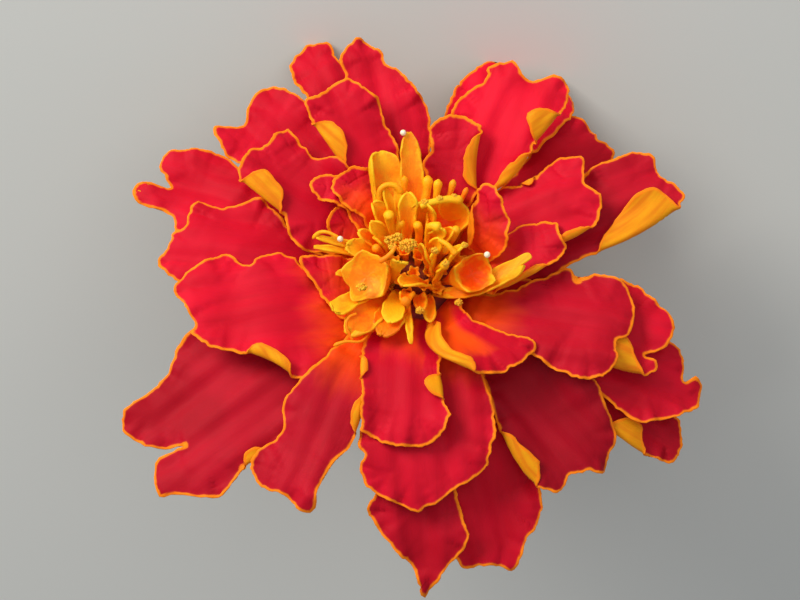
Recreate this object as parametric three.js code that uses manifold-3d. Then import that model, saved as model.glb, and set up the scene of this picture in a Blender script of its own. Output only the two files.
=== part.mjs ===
// A double French marigold, picked with a short stem and laid down: red ray petals, an orange disc, a green
// cup and the cut stem. Millimetres, +Z up. The bloom is made in its own frame first, with Z along its
// axis, and is then leaned over on to its back petals and the cut end of the stem.
import * as THREE from "three";
import { mergeVertices } from "three/addons/utils/BufferGeometryUtils.js";
import Module from "manifold-3d";

const wasm = await Module();
wasm.setup();

// How the bloom lies: leaned by LEAN about X, rolled by ROLL on to both back petals, and set down at PLACE.
const LEAN = 52.23;
const ROLL = 7.35;
const PLACE = [0.51, -0.25, 18.57];

// Every blade's thickness, and how many cells a petal has across and along.
const BLADE = 0.6;
const ACROSS = 5;
const ALONG = 7;

// A petal's soft pleats: their depth and width, the length over which they grow, and the phase step from
// petal to petal and slant of the broad pleats and of the fine ones, which are half as deep and as wide.
const PLEAT = { depth: 0.25, width: 4.3, start: 14, broad: [2.4, 0.12], fine: [1.7, -0.2] };

// The half width at which a petal's raised sides are measured, the length over which they grow and the
// roundness of its middle fold.
const RELIEF = { half: 6, start: 8, round: 0.5 };

// A petal's middle line: its longest length, its steps, the shares of its length at which it bends over and
// runs level, how far it has turned at the bend, and the shares over which its rise is evened.
const SPINE = {
  reach: 40,
  step: 0.2,
  bend: 0.12,
  middle: 0.45,
  turned: 0.4,
  even: [-0.1, -0.05, 0, 0.05, 0.1],
};

// A petal's half width at its claw.
const CLAW_HALF = 2.0;

// Radius and height at which the petals of each tier spring, from the outermost tier to the innermost.
const TIERS = [
  [5.0, -0.5],
  [4.8, 0.4],
  [4.5, 1.5],
  [4.2, 2.6],
];

// The seat that the petals are rooted in, as radius and height.
const SEAT_SIDES = 32;
const SEAT = [
  [0, -1.3],
  [5.65, -1.3],
  [5.65, 2.0],
  [4.7, 3.3],
  [0, 3.3],
];

// Each ray petal: its direction and tier, its rise in degrees at the claw, middle and tip, the length that
// the rise is spread over, and its outline laid flat, as [across, along] points up the left side, round the
// tip and up the right side.
const PETALS = [
  { name: "right_low", az: -33, tier: 0, rise: [40, -12, -26], length: 28, lift: -0.2,
    left: [[1.5, 12], [2.5, 18.5], [3.5, 23], [3.5, 25.5]],
    tip: [[2, 26.5], [0.5, 27.2], [-0.5, 27], [-1, 26]],
    right: [[-2.5, 12], [-2.5, 17], [-1.8, 19.5], [-1.7, 22.5], [-1.4, 24.7]] },
  { name: "right_outer", az: -20, tier: 0, rise: [45, -5, -20], length: 29,
    left: [[-0.5, 11.5], [1.5, 17], [2.5, 21], [2.5, 23]],
    tip: [[0.8, 24], [-0.4, 24.6], [0.5, 25.5], [0, 26.5], [-1.5, 26.7], [-2.5, 26.5]],
    right: [[-4.5, 12.5], [-5, 17], [-6, 20], [-6, 22], [-4, 25]] },
  { name: "front_side", az: -73, tier: 0, rise: [40, -18, -32], length: 28, lift: -0.2,
    left: [[2.5, 6.5], [4.5, 12.5], [5.5, 16.5], [6, 19], [5.5, 21]],
    tip: [[4.5, 22.5], [3.5, 23], [2.5, 24.5], [1.2, 26], [0, 25], [-1.5, 24.5], [-3, 24.5]],
    right: [[-0.5, 6], [-2.5, 12.5], [-4, 19], [-4, 23]] },
  { name: "front_low", az: -88, tier: 0, rise: [45, -18, -34], length: 29, fold: 0.35,
    left: [[2, 8.5], [3, 15], [4, 19.5], [4.5, 21]],
    tip: [[4, 22.5], [2.5, 24], [1, 26], [0, 27.2], [-0.5, 25.5], [-1, 24], [-2, 23]],
    right: [[-1.5, 8], [-3, 14.5], [-5, 18], [-5, 18.7], [-4, 20.5]] },
  { name: "right_back_low", az: 36, tier: 0, rise: [48, 2, -6], length: 24,
    left: [[2.5, 9], [4.5, 15], [5.5, 18.5]],
    tip: [[4.4, 20], [2.5, 20.5], [1, 20], [0, 20.5], [-1, 20.5]],
    right: [[-1.5, 7], [-1.5, 12], [-1.5, 16.5], [-1.5, 20]] },
  { name: "right_back", az: 21, tier: 1, rise: [52, 10, 2], length: 27,
    left: [[-0.5, 10], [1.5, 14], [3, 17], [3, 20]],
    tip: [[3, 21.5], [2, 23], [0.5, 23], [-0.5, 23], [-2, 24], [-3.2, 24.2]],
    right: [[-5.5, 7], [-5.5, 10], [-5.1, 13.8], [-5.3, 17], [-4.9, 20], [-3.8, 23.6]] },
  { name: "back_low_right", az: 67, tier: 0, rise: [47, 0, -11], length: 23, lift: 0.3,
    left: [[2.5, 6.5], [3.5, 12], [4, 14.5], [4, 18]],
    tip: [[3, 20.5], [2, 22], [0.5, 22.5], [-1.5, 21.5], [-3.5, 21.5], [-5, 23], [-6.5, 21.5]],
    right: [[-4, 9], [-6.5, 13.5], [-8, 17.5], [-8, 19.5]] },
  { name: "back_low_left", az: 111, tier: 0, rise: [46, 2, -7], length: 24,
    left: [[1, 5.5], [2, 14], [3, 19], [3.5, 21]],
    tip: [[3, 23], [1.5, 24], [0.5, 24.5], [-0.5, 24], [-1.5, 23.5]],
    right: [[-2, 5.5], [-1.7, 13.5], [-2, 19], [-1.5, 22]] },
  { name: "left_back_low", az: 157, tier: 0, rise: [48, 4, -8], length: 26,
    left: [[3.5, 3], [4, 12], [5, 17], [5, 19.5]],
    tip: [[3.5, 20.7], [3.6, 24], [2.8, 25.2], [1.5, 25], [0.9, 22.2], [0, 23], [-1, 24], [-2.5, 24]],
    right: [[-2, 5.5], [-2.5, 11.5], [-3.5, 16], [-4.5, 18.5], [-4, 21.5]] },
  { name: "front_right", az: -50, tier: 1, rise: [50, -10, -25], length: 24,
    left: [[3, 5.5], [6, 11.5], [6.5, 15.5], [5.8, 18.5]],
    tip: [[5, 21], [3.5, 22], [2, 23], [0.5, 21.7], [-1, 21], [-2, 21.5], [-3, 21.5]],
    right: [[-0.5, 5.5], [-2, 9.5], [-3.6, 13.2], [-4.3, 17.2], [-4, 20.4]] },
  { name: "right_middle", az: -11, tier: 1, rise: [55, 0, -14], length: 26,
    left: [[1, 11], [2.5, 15], [3, 17], [3, 18.5]],
    tip: [[1.8, 20.2], [0.5, 22], [-1, 22.6], [-3, 22], [-4, 20.3], [-4.5, 21.2], [-5.4, 21.6]],
    right: [[-4.5, 12], [-6, 15.5], [-6.3, 18.5], [-6, 20.8]] },
  { name: "back_tall", az: 100, tier: 1, rise: [60, 16, 6], length: 24,
    left: [[1.5, 5], [2.5, 12.5], [3, 17.5], [3.5, 20]],
    tip: [[2.2, 21.5], [1, 22], [0, 21], [-1, 20], [-1, 19]],
    right: [[-3, 4.5], [-4, 9.5], [-4.5, 12.5], [-4, 15], [-2.3, 18]] },
  { name: "left_back", az: 133, tier: 1, rise: [55, 12, 0], length: 22,
    left: [[2.5, 4], [4, 12], [5, 16], [5.5, 18]],
    tip: [[5, 20], [4.3, 21], [2, 19.5], [0.5, 20.5], [-1, 21], [-2.5, 21], [-3.5, 19.5]],
    right: [[-2.5, 4], [-4, 10.5], [-4, 14.5], [-4, 18]] },
  { name: "left_outer", az: 174, tier: 1, rise: [55, 4, -8], length: 25,
    left: [[3, 4], [5, 12], [4.5, 17], [3.5, 19.5]],
    tip: [[2.5, 21], [1.5, 21.5], [0, 20.5], [-1.2, 20.3], [-2, 19.2], [-4, 19.2]],
    right: [[-1, 4.5], [-2.5, 8], [-5, 11], [-6, 12.5], [-4.7, 15.5], [-5, 18.5]] },
  { name: "left_low", az: -147, tier: 1, rise: [50, -8, -16], length: 28,
    left: [[3, 2.5], [6.5, 10], [7.5, 16], [7.4, 20.4]],
    tip: [[8.2, 22.2], [8.3, 24.2], [5.6, 27.4], [5.3, 28.6], [3.4, 28.2], [1.8, 27], [2.4, 23.8],
      [1, 26.3], [-1.5, 28], [-3, 28]],
    right: [[0, 4.5], [-4, 9], [-6.5, 15.5], [-6.5, 19], [-4.5, 22], [-4, 27]] },
  { name: "front_wide", az: -87, tier: 2, rise: [65, -8, -30], length: 23,
    left: [[2.5, 1.5], [4.5, 5.5], [6, 8], [7, 13], [6, 17]],
    tip: [[5, 18], [3, 19], [1.5, 20], [0, 20.7], [-1, 21], [-4, 19.5]],
    right: [[-3, 6], [-4.5, 10], [-6, 14], [-5.5, 15.5], [-6, 16.5], [-5.5, 18.5]] },
  { name: "left_wide", az: -171, tier: 2, rise: [65, 6, -10], length: 23,
    left: [[7, 5], [10, 8.5], [9.5, 10.5], [7.5, 13], [6.5, 15.5], [5.5, 18]],
    tip: [[4, 19.3], [3, 19], [1, 19.7], [-0.5, 20.5], [-1.5, 20], [-3, 18]],
    right: [[3, 4], [0.5, 6], [-1.5, 8], [-3, 9.5], [-3, 12], [-2, 13], [-4, 15]] },
  { name: "front_left", az: -114, tier: 2, rise: [60, -4, -22], length: 24, lift: 0.6,
    left: [[1, 5.5], [1.5, 9], [1.5, 12.5], [2.1, 15.5], [1.1, 18]],
    tip: [[0.9, 20.5], [1.3, 22.6], [0.2, 23.3], [-2, 22.5], [-4, 22.8]],
    right: [[-2.2, 4], [-3.2, 7.4], [-4, 10], [-5.5, 14.5], [-4.5, 17], [-6, 20], [-6, 21.6]] },
  { name: "right_wide", az: -14, tier: 2, rise: [65, 4, -10], length: 22,
    left: [[-0.5, 2.5], [0, 7], [3, 11.5], [2.2, 13.2]],
    tip: [[3.3, 15], [3, 17.5], [1, 19], [-2, 19.1], [-3, 18], [-5, 18.5]],
    right: [[-4, 4.5], [-5, 8], [-6.5, 11], [-7.5, 15], [-6.8, 17.5]] },
  { name: "right_back_upper", az: 16, tier: 2, rise: [72, 20, 2], length: 19,
    left: [[4.4, 5.5], [5.1, 8.2], [4.9, 9.7], [4.3, 11.2], [4.8, 12.2], [5.3, 12.8]],
    tip: [[6, 15], [5, 17], [2.5, 16.4], [1, 17.5], [-0.5, 17]],
    right: [[-2, 6], [-2.5, 9], [-2.5, 13.5], [-1.8, 16.2]] },
  { name: "back_wide", az: 62, tier: 2, rise: [72, 24, 8], length: 22,
    left: [[1, 5.5], [2, 10.5], [3.5, 14], [3.5, 15.5]],
    tip: [[2, 18.5], [2.4, 19.5], [0.5, 21], [-1.8, 20], [-4, 21.5], [-5.7, 21]],
    right: [[-2.9, 7.5], [-4.4, 10.2], [-5.3, 12.6], [-5.2, 14.3], [-5.4, 16], [-6.1, 18.3], [-6.3, 19]] },
  { name: "back_upper_left", az: 112, tier: 2, rise: [72, 26, 10], length: 20,
    left: [[1.3, 5], [2.5, 9.8], [3.2, 12.5], [3.9, 15.1], [4, 15.8]],
    tip: [[3.8, 17.5], [2.5, 17.5], [0.5, 18], [-1, 18]],
    right: [[-1.5, 5], [-3, 9.5], [-2.7, 13.3], [-3, 15], [-2, 16.5]] },
  { name: "left_back_upper", az: 147, tier: 2, rise: [72, 20, 4], length: 19,
    left: [[2.5, 4], [4.5, 7.5], [4.2, 9.6], [2.8, 11.3], [2.5, 14.5], [2.5, 16.6]],
    tip: [[1.8, 17.3], [0.5, 17.5], [-0.5, 17.5], [-2, 16.5], [-3.5, 16.5]],
    right: [[-3, 4], [-4.5, 9], [-3.7, 12], [-4.8, 15.8]] },
  { name: "front_inner", az: -93, tier: 3, rise: [76, 8, -26], length: 17,
    left: [[2, 4.6], [3.1, 7], [3.1, 9.2], [3.6, 11.8], [4.4, 13.1]],
    tip: [[3.4, 15.1], [1.7, 16.2], [-1.9, 16]],
    right: [[-4, 5.5], [-4.3, 8], [-4.1, 11], [-4, 14.9]] },
  { name: "right_scoop", az: -39, tier: 3, rise: [78, 14, -8], length: 12, lift: 0.5, cup: 2.5,
    left: [[0.2, 4.6], [0.3, 7], [0.2, 9.3]],
    tip: [[0.9, 11], [0.4, 12.2]],
    right: [[-3.4, 2.4], [-5.6, 4.2], [-6.8, 6.8], [-6.3, 8.8], [-5.4, 10.1], [-3.8, 11.2], [-2, 11.9]] },
  { name: "right_inner", az: 7, tier: 3, rise: [80, 25, 5], length: 13,
    left: [[0, 5.5], [1, 7], [2, 9], [2, 11.5]],
    tip: [[1.5, 12.5], [0.5, 12.5], [-1, 13]],
    right: [[-4, 5.5], [-4, 7], [-3.5, 9.5], [-2.2, 12]] },
  { name: "right_sliver", az: 56, base: 14, tier: 3, rise: [88, 52, 20], length: 14, lift: 1.2,
    left: [[-1.5, 2.5], [-0.5, 6], [0.5, 9]],
    tip: [[0.6, 10.4], [-0.4, 11]],
    right: [[-3.2, 3], [-4.3, 6], [-3.7, 8.3], [-1.7, 10.4]] },
  { name: "back_inner", az: 72, tier: 3, rise: [80, 38, 18], length: 13,
    left: [[1, 6], [2, 8.5], [1.6, 10], [2.4, 12]],
    tip: [[1.7, 13.2], [0, 14], [-1, 14]],
    right: [[-2.5, 3.5], [-4, 7.5], [-3, 10], [-2.5, 13.5]] },
  { name: "left_petal_low", az: 152, tier: 3, rise: [80, 40, 30], length: 8, lift: 0.6,
    left: [[1, 3.5], [1.6, 5], [1.5, 6.5]],
    tip: [[0.8, 7.2], [-0.5, 7.5]],
    right: [[-3.2, 3], [-3.5, 5], [-2, 6.8]] },
  { name: "left_petal_outer", az: 144, tier: 3, rise: [80, 38, 12], length: 10, lift: 0.6, out: 0.3,
    left: [[0, 5], [0, 7], [0.6, 9]],
    tip: [[0.2, 10.2], [-0.6, 10.6]],
    right: [[-2.5, 6], [-2.5, 8.5], [-1.8, 10]] },
  { name: "left_petal_upper", az: 126, tier: 3, rise: [80, 45, 35], length: 9,
    left: [[1.4, 4], [2.4, 7], [2.4, 9]],
    tip: [[1.3, 9.8], [-0.6, 9.8]],
    right: [[-2.2, 4], [-2.2, 7], [-1.8, 9]] },
  { name: "left_inner", az: 179, tier: 3, rise: [80, 18, 0], length: 12,
    left: [[5, 2.5], [5.5, 4], [4.5, 5.5], [3, 6.5]],
    tip: [[1.7, 7.5], [0.5, 8.5], [-0.4, 8.5]],
    right: [[-1, 2], [-1, 4.5], [-0.8, 6.5]] },
];

// The disc: the dome that its florets stand on, as radius and height.
const DOME_SIDES = 24;
const DOME = [
  [0, 3.7],
  [3.0, 3.7],
  [3.1, 4.6],
  [2.7, 5.8],
  [1.5, 6.5],
  [0, 6.7],
];

// Each strap floret: where it springs on the dome, its tip, its greatest width, how deep it is channelled,
// how far its face is turned round at the tip, in degrees, and how far its bend sways to the left.
const STRAPS = [
  { root: [0.4, 2.7], tip: [-0.35, 11.3, 12.4], width: 1.9, channel: 0.3 },
  { root: [-2.0, 2.1], tip: [-3.1, 10.0, 10.8], width: 3.2, channel: 0.6 },
  { root: [-1.1, 2.3], tip: [-2.8, 6.2, 11], width: 1.1, channel: 0.2, bent: 40 },
  { root: [-0.6, 2.3], tip: [-1.5, 6.1, 11], width: 1.0, channel: 0.2, bent: -40 },
  { root: [-0.6, 1.0], tip: [-0.4, 4.9, 12.5], width: 1.9, channel: 0.5 },
  { root: [-1.6, 2.0], tip: [-3.8, 4.7, 10.6], width: 1.9, channel: 0.4, bent: 25 },
  { root: [-1.6, 1.6], tip: [-4.0, 2.7, 10.5], width: 1.4, channel: 0.3, bent: -30 },
  { root: [-2.3, 1.2], tip: [-5.2, 2.1, 9.6], width: 1.4, channel: 0.4 },
  { root: [-2.0, 0.8], tip: [-3.7, 1.2, 10.2], width: 1.3, channel: 0.3, bent: 50 },
  { root: [0.7, 2.4], tip: [1.4, 4.3, 12], width: 2.4, channel: 0.6 },
  { root: [1.2, 1.2], tip: [2.9, 1.1, 12.5], width: 1.4, channel: 0.3, bent: 60 },
  { root: [1.7, 0.9], tip: [3.9, 1.2, 12], width: 1.4, channel: 0.3 },
  { root: [2.2, -1.6], tip: [0.9, -0.3, 12], width: 1.3, channel: 0.3 },
  { root: [2.1, -1.3], tip: [2.1, -1.0, 12.2], width: 1.1, channel: 0.2 },
  { root: [1.8, 0.0], tip: [2.6, 0.2, 12.2], width: 1.3, channel: 0.3, bent: 45 },
  { root: [2.3, -1.6], tip: [4.8, -0.6, 12.4], width: 1.1, channel: 0.3, bent: -30 },
  { root: [2.1, -1.9], tip: [3.2, -1.9, 11.6], width: 1.0, channel: 0.2 },
  { root: [2.1, -1.9], tip: [10.6, -1.3, 10.2], width: 2.4, channel: 0.3, sway: -2.4 },
  { root: [2.2, -2.0], tip: [-0.9, -3.9, 10.6], width: 2.5, channel: 0.5 },
  { root: [-2.2, -1.8], tip: [-1.2, -1.9, 11.6], width: 1.4, channel: 0.2 },
  { root: [-2.5, -0.5], tip: [-7.3, -2.1, 9.2], width: 0.9, channel: 0.1 },
  { root: [-2.4, 0.4], tip: [-6.0, 0.4, 9.8], width: 2.0, channel: 0.4 },
  { root: [-2.5, 1.0], tip: [-9.2, 1.6, 9.4], width: 0.7, channel: 0.1 },
  { root: [-2.6, 0.6], tip: [-9.4, 0.7, 9.2], width: 0.6, channel: 0.1 },
  { root: [-1.2, -2.1], tip: [-2.1, -7.0, 9.0], width: 2.3, channel: 0.2 },
  { root: [-2.1, -1.7], tip: [-7.4, -5.8, 8.8], width: 1.9, channel: 0.3, bent: 20 },
  { root: [-1.6, -2.2], tip: [-5.7, -7.6, 8.3], width: 3.0, channel: 0.4 },
  { root: [-0.9, -2.5], tip: [-2.7, -7.6, 8.2], width: 2.8, channel: 0.3 },
  { root: [-0.2, -2.6], tip: [-0.8, -5.2, 9.5], width: 1.3, channel: 0.3 },
  { root: [0.7, -2.6], tip: [0.8, -5.7, 8.6], width: 1.3, channel: 0.3 },
  { root: [1.5, -2.4], tip: [1.7, -6.6, 8.1], width: 1.2, channel: 0.2 },
  { root: [-0.6, -2.6], tip: [-0.2, -9.0, 8.7], width: 0.6, channel: 0.1 },
];

// How every strap is drawn: how deep it is rooted, the shares of its reach and of its rise that it has made
// at the bend, its cells across and along, and its width from root to tip.
const STRAP = { root: 0.9, out: 0.3, up: 0.72, across: 2, along: 3, widths: [0.44, 0.64, 1, 0.7] };

// The florets that open in a bell: the root on the dome, the middle and radius of the mouth, its lobes, how
// far the gaps between them go down, the mouth's depth as a share of its width, and how far it is turned.
const BELLS = [
  { root: [1.5, 1.6], mouth: [3.4, 3.1, 11.0], radius: 1.9, lobes: 5, cut: 0.8, squash: 0.75, turn: 20 },
  { root: [2.5, -1.2], mouth: [5.9, -2.6, 10.6], radius: 1.85, lobes: 4, cut: 0.7, squash: 1.0, turn: 35 },
  { root: [-1.6, -0.9], mouth: [-4.5, -2.6, 9.8], radius: 2.2, lobes: 5, cut: 0.9, squash: 1.1, turn: 8 },
];

// How every bell is drawn: how deep it is rooted, its foot's radius, the rings up its outside as shares of
// its height and of its opening, the floor inside it as the same shares, how sharply its lobes set in
// towards the rim, the way that its mouth leans, how far it keeps to its own axis, and its first side.
const BELL = {
  root: 0.9,
  foot: 0.45,
  rings: [[0, 0], [0.5, 0.35], [0.8, 0.75], [1, 1]],
  floor: [0.84, 0.8],
  sharp: 4,
  face: [0, -0.37, 0.93],
  keeps: 0.4,
  side: [0, 1, 0.2],
};

// The small tubular florets that fill the dome between the straps, set on a spiral. Their heights run
// between short and tall in steps of the mixing share, and the rings give their width from root to mouth.
const TUBES = {
  count: 22,
  turn: 137.5,
  mixing: 0.382,
  reach: 3.0,
  width: 0.85,
  short: 1.8,
  tall: 3.4,
  flare: 26,
  root: 0.8,
  sides: 5,
  rings: [[0, 0.6], [0.85, 1], [1, 0.45]],
};

// Cup and stem, as radius and height along the bloom's axis.
const CUP = {
  sides: 60,
  ribs: 10,
  ribDepth: 0.28,
  toothHeight: 0.9,
  profile: [[6.25, -1.9], [6.35, -3.4], [6.0, -6], [5.4, -9], [4.6, -12], [3.5, -14.4], [2.5, -15.6]],
  floor: -1.6,
  rimHeight: -1.4,
  rimOuter: 6.42,
  rimInner: 5.95,
};
const STEM = {
  sides: 16,
  ridges: 8,
  ridge: 0.08,
  profile: [[2.15, -15.9], [1.8, -17.4], [1.5, -20], [1.38, -24], [1.4, -28]],
  bend: [0.9, 0.4],
};

const rad = THREE.MathUtils.degToRad;
const vec = (x, y, z) => new THREE.Vector3(x, y, z);
const clamp = THREE.MathUtils.clamp;
const lerp = THREE.MathUtils.lerp;

// The value at x of the line through the knots [x, y].
function through(knots, x) {
  const i = knots.findIndex((k) => k[0] >= x);
  if (i === 0) return knots[0][1];
  if (i < 0) return knots[knots.length - 1][1];
  const [a, b] = [knots[i - 1], knots[i]];
  return lerp(a[1], b[1], (x - a[0]) / (b[0] - a[0]));
}

// A smooth curve through flat points, as n points at even steps along it.
function smoothCurve(points, n) {
  const curve = new THREE.SplineCurve(points.map((p) => new THREE.Vector2(p[0], p[1])));
  return curve.getSpacedPoints(n - 1);
}

// The spine of a petal: it leaves the seat steeply, bends over and then runs out. The function it returns
// gives the point at v mm along it, with the directions to the left and up from its face there.
function makeSpine(petal) {
  const [claw, middle, tip] = petal.rise;
  const bent = lerp(claw, middle, SPINE.turned);
  const knots = [[0, claw], [SPINE.bend, bent], [SPINE.middle, middle], [1, tip]];
  const az = rad(petal.az);
  const [radius, height] = TIERS[petal.tier];
  const root = rad(petal.base ?? petal.az);
  const out = radius + (petal.out ?? 0);
  const at = vec(out * Math.cos(root), out * Math.sin(root), height + (petal.lift ?? 0));
  const rise = (k) => {
    const near = SPINE.even.map((s) => through(knots, clamp(k + s, 0, 1)));
    return rad(near.reduce((a, b) => a + b) / near.length);
  };
  const points = [];
  for (let v = 0; v <= SPINE.reach; v += SPINE.step) {
    const e = rise(v / petal.length);
    const along = vec(Math.cos(e) * Math.cos(az), Math.cos(e) * Math.sin(az), Math.sin(e));
    points.push({ at: at.clone(), along });
    at.addScaledVector(along, SPINE.step);
  }
  const left = vec(-Math.sin(az), Math.cos(az), 0);
  return (v) => {
    const nearest = Math.round(v / SPINE.step);
    const { at: p, along } = points[Math.min(nearest, points.length - 1)];
    const over = v - nearest * SPINE.step;
    return { at: p.clone().addScaledVector(along, over), left, up: along.clone().cross(left) };
  };
}

// How far a petal's face stands above its flat outline at (u, v): its cup, its middle fold and its pleats.
function faceHeight(petal, index, u, v) {
  const grow = clamp(v / PLEAT.start, 0, 1);
  const near = clamp(v / RELIEF.start, 0, 1);
  const wave = (2 * Math.PI * u) / PLEAT.width;
  const cup = (petal.cup ?? 0) * (u / RELIEF.half) ** 2 * near;
  const fold = (petal.fold ?? 0) * Math.hypot(u, RELIEF.round) * near;
  const [broad, fine] = [PLEAT.broad, PLEAT.fine].map(([step, slant]) => step * index + slant * v);
  const pleat = Math.cos(wave + broad) + Math.cos(2 * wave + fine) / 2;
  return cup + fold + PLEAT.depth * grow * pleat;
}

// The points of a petal's middle surface, on a grid from its left side to its right and from claw to tip.
function petalGrid(petal, index) {
  const left = [[CLAW_HALF, 0], ...petal.left];
  const right = [[-CLAW_HALF, 0], ...petal.right];
  const tip = [left.at(-1), ...petal.tip, right.at(-1)];
  const sides = [smoothCurve(left, ALONG + 1), smoothCurve(right, ALONG + 1)];
  const end = smoothCurve(tip, ACROSS + 1);
  const frame = makeSpine(petal);
  const rows = [];
  for (let i = 0; i <= ACROSS; i++) {
    const s = i / ACROSS;
    const row = [];
    for (let j = 0; j <= ALONG; j++) {
      const t = j / ALONG;
      const flat = ["x", "y"].map((c) => {
        const ruled = lerp(sides[0][j][c], sides[1][j][c], s);
        return ruled + t * (end[i][c] - lerp(end[0][c], end[ACROSS][c], s));
      });
      const { at, left: side, up } = frame(Math.max(flat[1], 0));
      at.addScaledVector(side, flat[0]).addScaledVector(up, faceHeight(petal, index, ...flat));
      row.push(at);
    }
    rows.push(row);
  }
  return rows;
}

// A closed blade of the given thickness on both sides of a grid of points, split alike on both faces.
function bladeSolid(rows, thickness) {
  const [m, n] = [rows.length, rows[0].length];
  const point = (i, j) => rows[clamp(i, 0, m - 1)][clamp(j, 0, n - 1)];
  const positions = [];
  for (const side of [0.5, -0.5])
    for (let i = 0; i < m; i++)
      for (let j = 0; j < n; j++) {
        const across = point(i + 1, j).clone().sub(point(i - 1, j));
        const along = point(i, j + 1).clone().sub(point(i, j - 1));
        const normal = across.cross(along).normalize();
        positions.push(...rows[i][j].clone().addScaledVector(normal, side * thickness));
      }
  const upper = (i, j) => i * n + j;
  const lower = (i, j) => m * n + i * n + j;
  const index = [];
  const quad = (a, b, c, d) => index.push(a, b, c, a, c, d);
  for (let i = 0; i < m - 1; i++)
    for (let j = 0; j < n - 1; j++) {
      index.push(upper(i, j), upper(i + 1, j), upper(i + 1, j + 1));
      index.push(upper(i, j), upper(i + 1, j + 1), upper(i, j + 1));
      index.push(lower(i, j), lower(i + 1, j + 1), lower(i + 1, j));
      index.push(lower(i, j), lower(i, j + 1), lower(i + 1, j + 1));
    }
  for (let j = 0; j < n - 1; j++) {
    quad(upper(0, j), upper(0, j + 1), lower(0, j + 1), lower(0, j));
    quad(upper(m - 1, j + 1), upper(m - 1, j), lower(m - 1, j), lower(m - 1, j + 1));
  }
  for (let i = 0; i < m - 1; i++) {
    quad(upper(i + 1, 0), upper(i, 0), lower(i, 0), lower(i + 1, 0));
    quad(upper(i, n - 1), upper(i + 1, n - 1), lower(i + 1, n - 1), lower(i, n - 1));
  }
  return solidOf(positions, index);
}

// A closed solid through a stack of rings of points, with a flat fan on each end.
function ringSolid(rings) {
  const n = rings[0].length;
  const positions = [];
  for (const ring of rings) for (const p of ring) positions.push(...p);
  const index = [];
  for (let k = 0; k < rings.length - 1; k++)
    for (let i = 0; i < n; i++) {
      const [a, b] = [k * n + i, k * n + ((i + 1) % n)];
      index.push(a, b, b + n, a, b + n, a + n);
    }
  const ends = [rings[0], rings.at(-1)];
  ends.forEach((ring, e) => {
    const middle = positions.length / 3;
    const centre = ring.reduce((sum, p) => sum.add(p), vec(0, 0, 0)).divideScalar(n);
    positions.push(...centre);
    const first = e * (rings.length - 1) * n;
    for (let i = 0; i < n; i++) {
      const [a, b] = [first + i, first + ((i + 1) % n)];
      index.push(...(e ? [a, b, middle] : [b, a, middle]));
    }
  });
  return solidOf(positions, index);
}

// The same solid as a lathe would turn from a profile that starts and ends on the axis.
function turnedSolid(profile, sides) {
  const lathe = new THREE.LatheGeometry(profile.map((p) => new THREE.Vector2(p[0], p[1])), sides);
  lathe.rotateX(Math.PI / 2);
  lathe.deleteAttribute("normal");
  lathe.deleteAttribute("uv");
  const merged = mergeVertices(lathe, 1e-4);
  return solidOf([...merged.attributes.position.array], [...merged.index.array]);
}

function solidOf(positions, index) {
  const kept = [];
  for (let i = 0; i < index.length; i += 3) {
    const [a, b, c] = index.slice(i, i + 3);
    if (a !== b && b !== c && a !== c) kept.push(a, b, c);
  }
  return new wasm.Manifold(
    new wasm.Mesh({
      numProp: 3,
      vertProperties: new Float32Array(positions),
      triVerts: new Uint32Array(kept),
    }),
  );
}

const join = (solids) => solids.reduce((a, b) => a.add(b));

// The one body that holds together: sealed hollows are filled and loose scraps are dropped.
function wholeBody(solid) {
  return solid.decompose().reduce((a, b) => (b.volume() > a.volume() ? b : a));
}

function geometryOf(solid) {
  const mesh = solid.getMesh();
  const geometry = new THREE.BufferGeometry();
  geometry.setAttribute("position", new THREE.BufferAttribute(new Float32Array(mesh.vertProperties), 3));
  geometry.setIndex(new THREE.BufferAttribute(new Uint32Array(mesh.triVerts), 1));
  geometry.computeVertexNormals();
  return geometry;
}

function rayPetals() {
  const blades = PETALS.map((petal, i) => bladeSolid(petalGrid(petal, i), BLADE));
  return wholeBody(join([turnedSolid(SEAT, SEAT_SIDES), ...blades]));
}

// The height of the dome's surface at radius r.
function domeHeight(r) {
  return through(DOME.slice(1).reverse(), r);
}

// Where a floret that springs at a point of the dome is rooted, sunk in by the given depth.
function rootOf([x, y], sunk) {
  return vec(x, y, domeHeight(Math.hypot(x, y)) - sunk);
}

// A strap floret: a channelled blade that rises from the dome and bends over to its tip.
function strap({ root, tip, width, channel, bent = 0, sway = 0 }) {
  const from = rootOf(root, STRAP.root);
  const to = vec(...tip);
  const span = to.clone().sub(from);
  const bend = from.clone().add(vec(STRAP.out * span.x, STRAP.out * span.y, STRAP.up * span.z));
  const outward = vec(to.x - STRAP.out * from.x, to.y - STRAP.out * from.y, 0);
  const level = vec(0, 0, 1).cross(outward).normalize();
  bend.addScaledVector(level, sway);
  const curve = new THREE.QuadraticBezierCurve3(from, bend, to);
  const rows = [];
  for (let i = 0; i <= STRAP.across; i++) {
    const s = 1 - (2 * i) / STRAP.across;
    const row = [];
    for (let j = 0; j <= STRAP.along; j++) {
      const t = j / STRAP.along;
      const along = curve.getTangent(t);
      const side = level.clone().applyAxisAngle(along, rad(-bent * t));
      const face = along.clone().cross(side).normalize();
      const p = curve.getPoint(t).addScaledVector(side, (s * width * STRAP.widths[j]) / 2);
      p.addScaledVector(face, channel * s * s * STRAP.widths[j]);
      row.push(p);
    }
    rows.push(row);
  }
  return bladeSolid(rows, BLADE);
}

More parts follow.
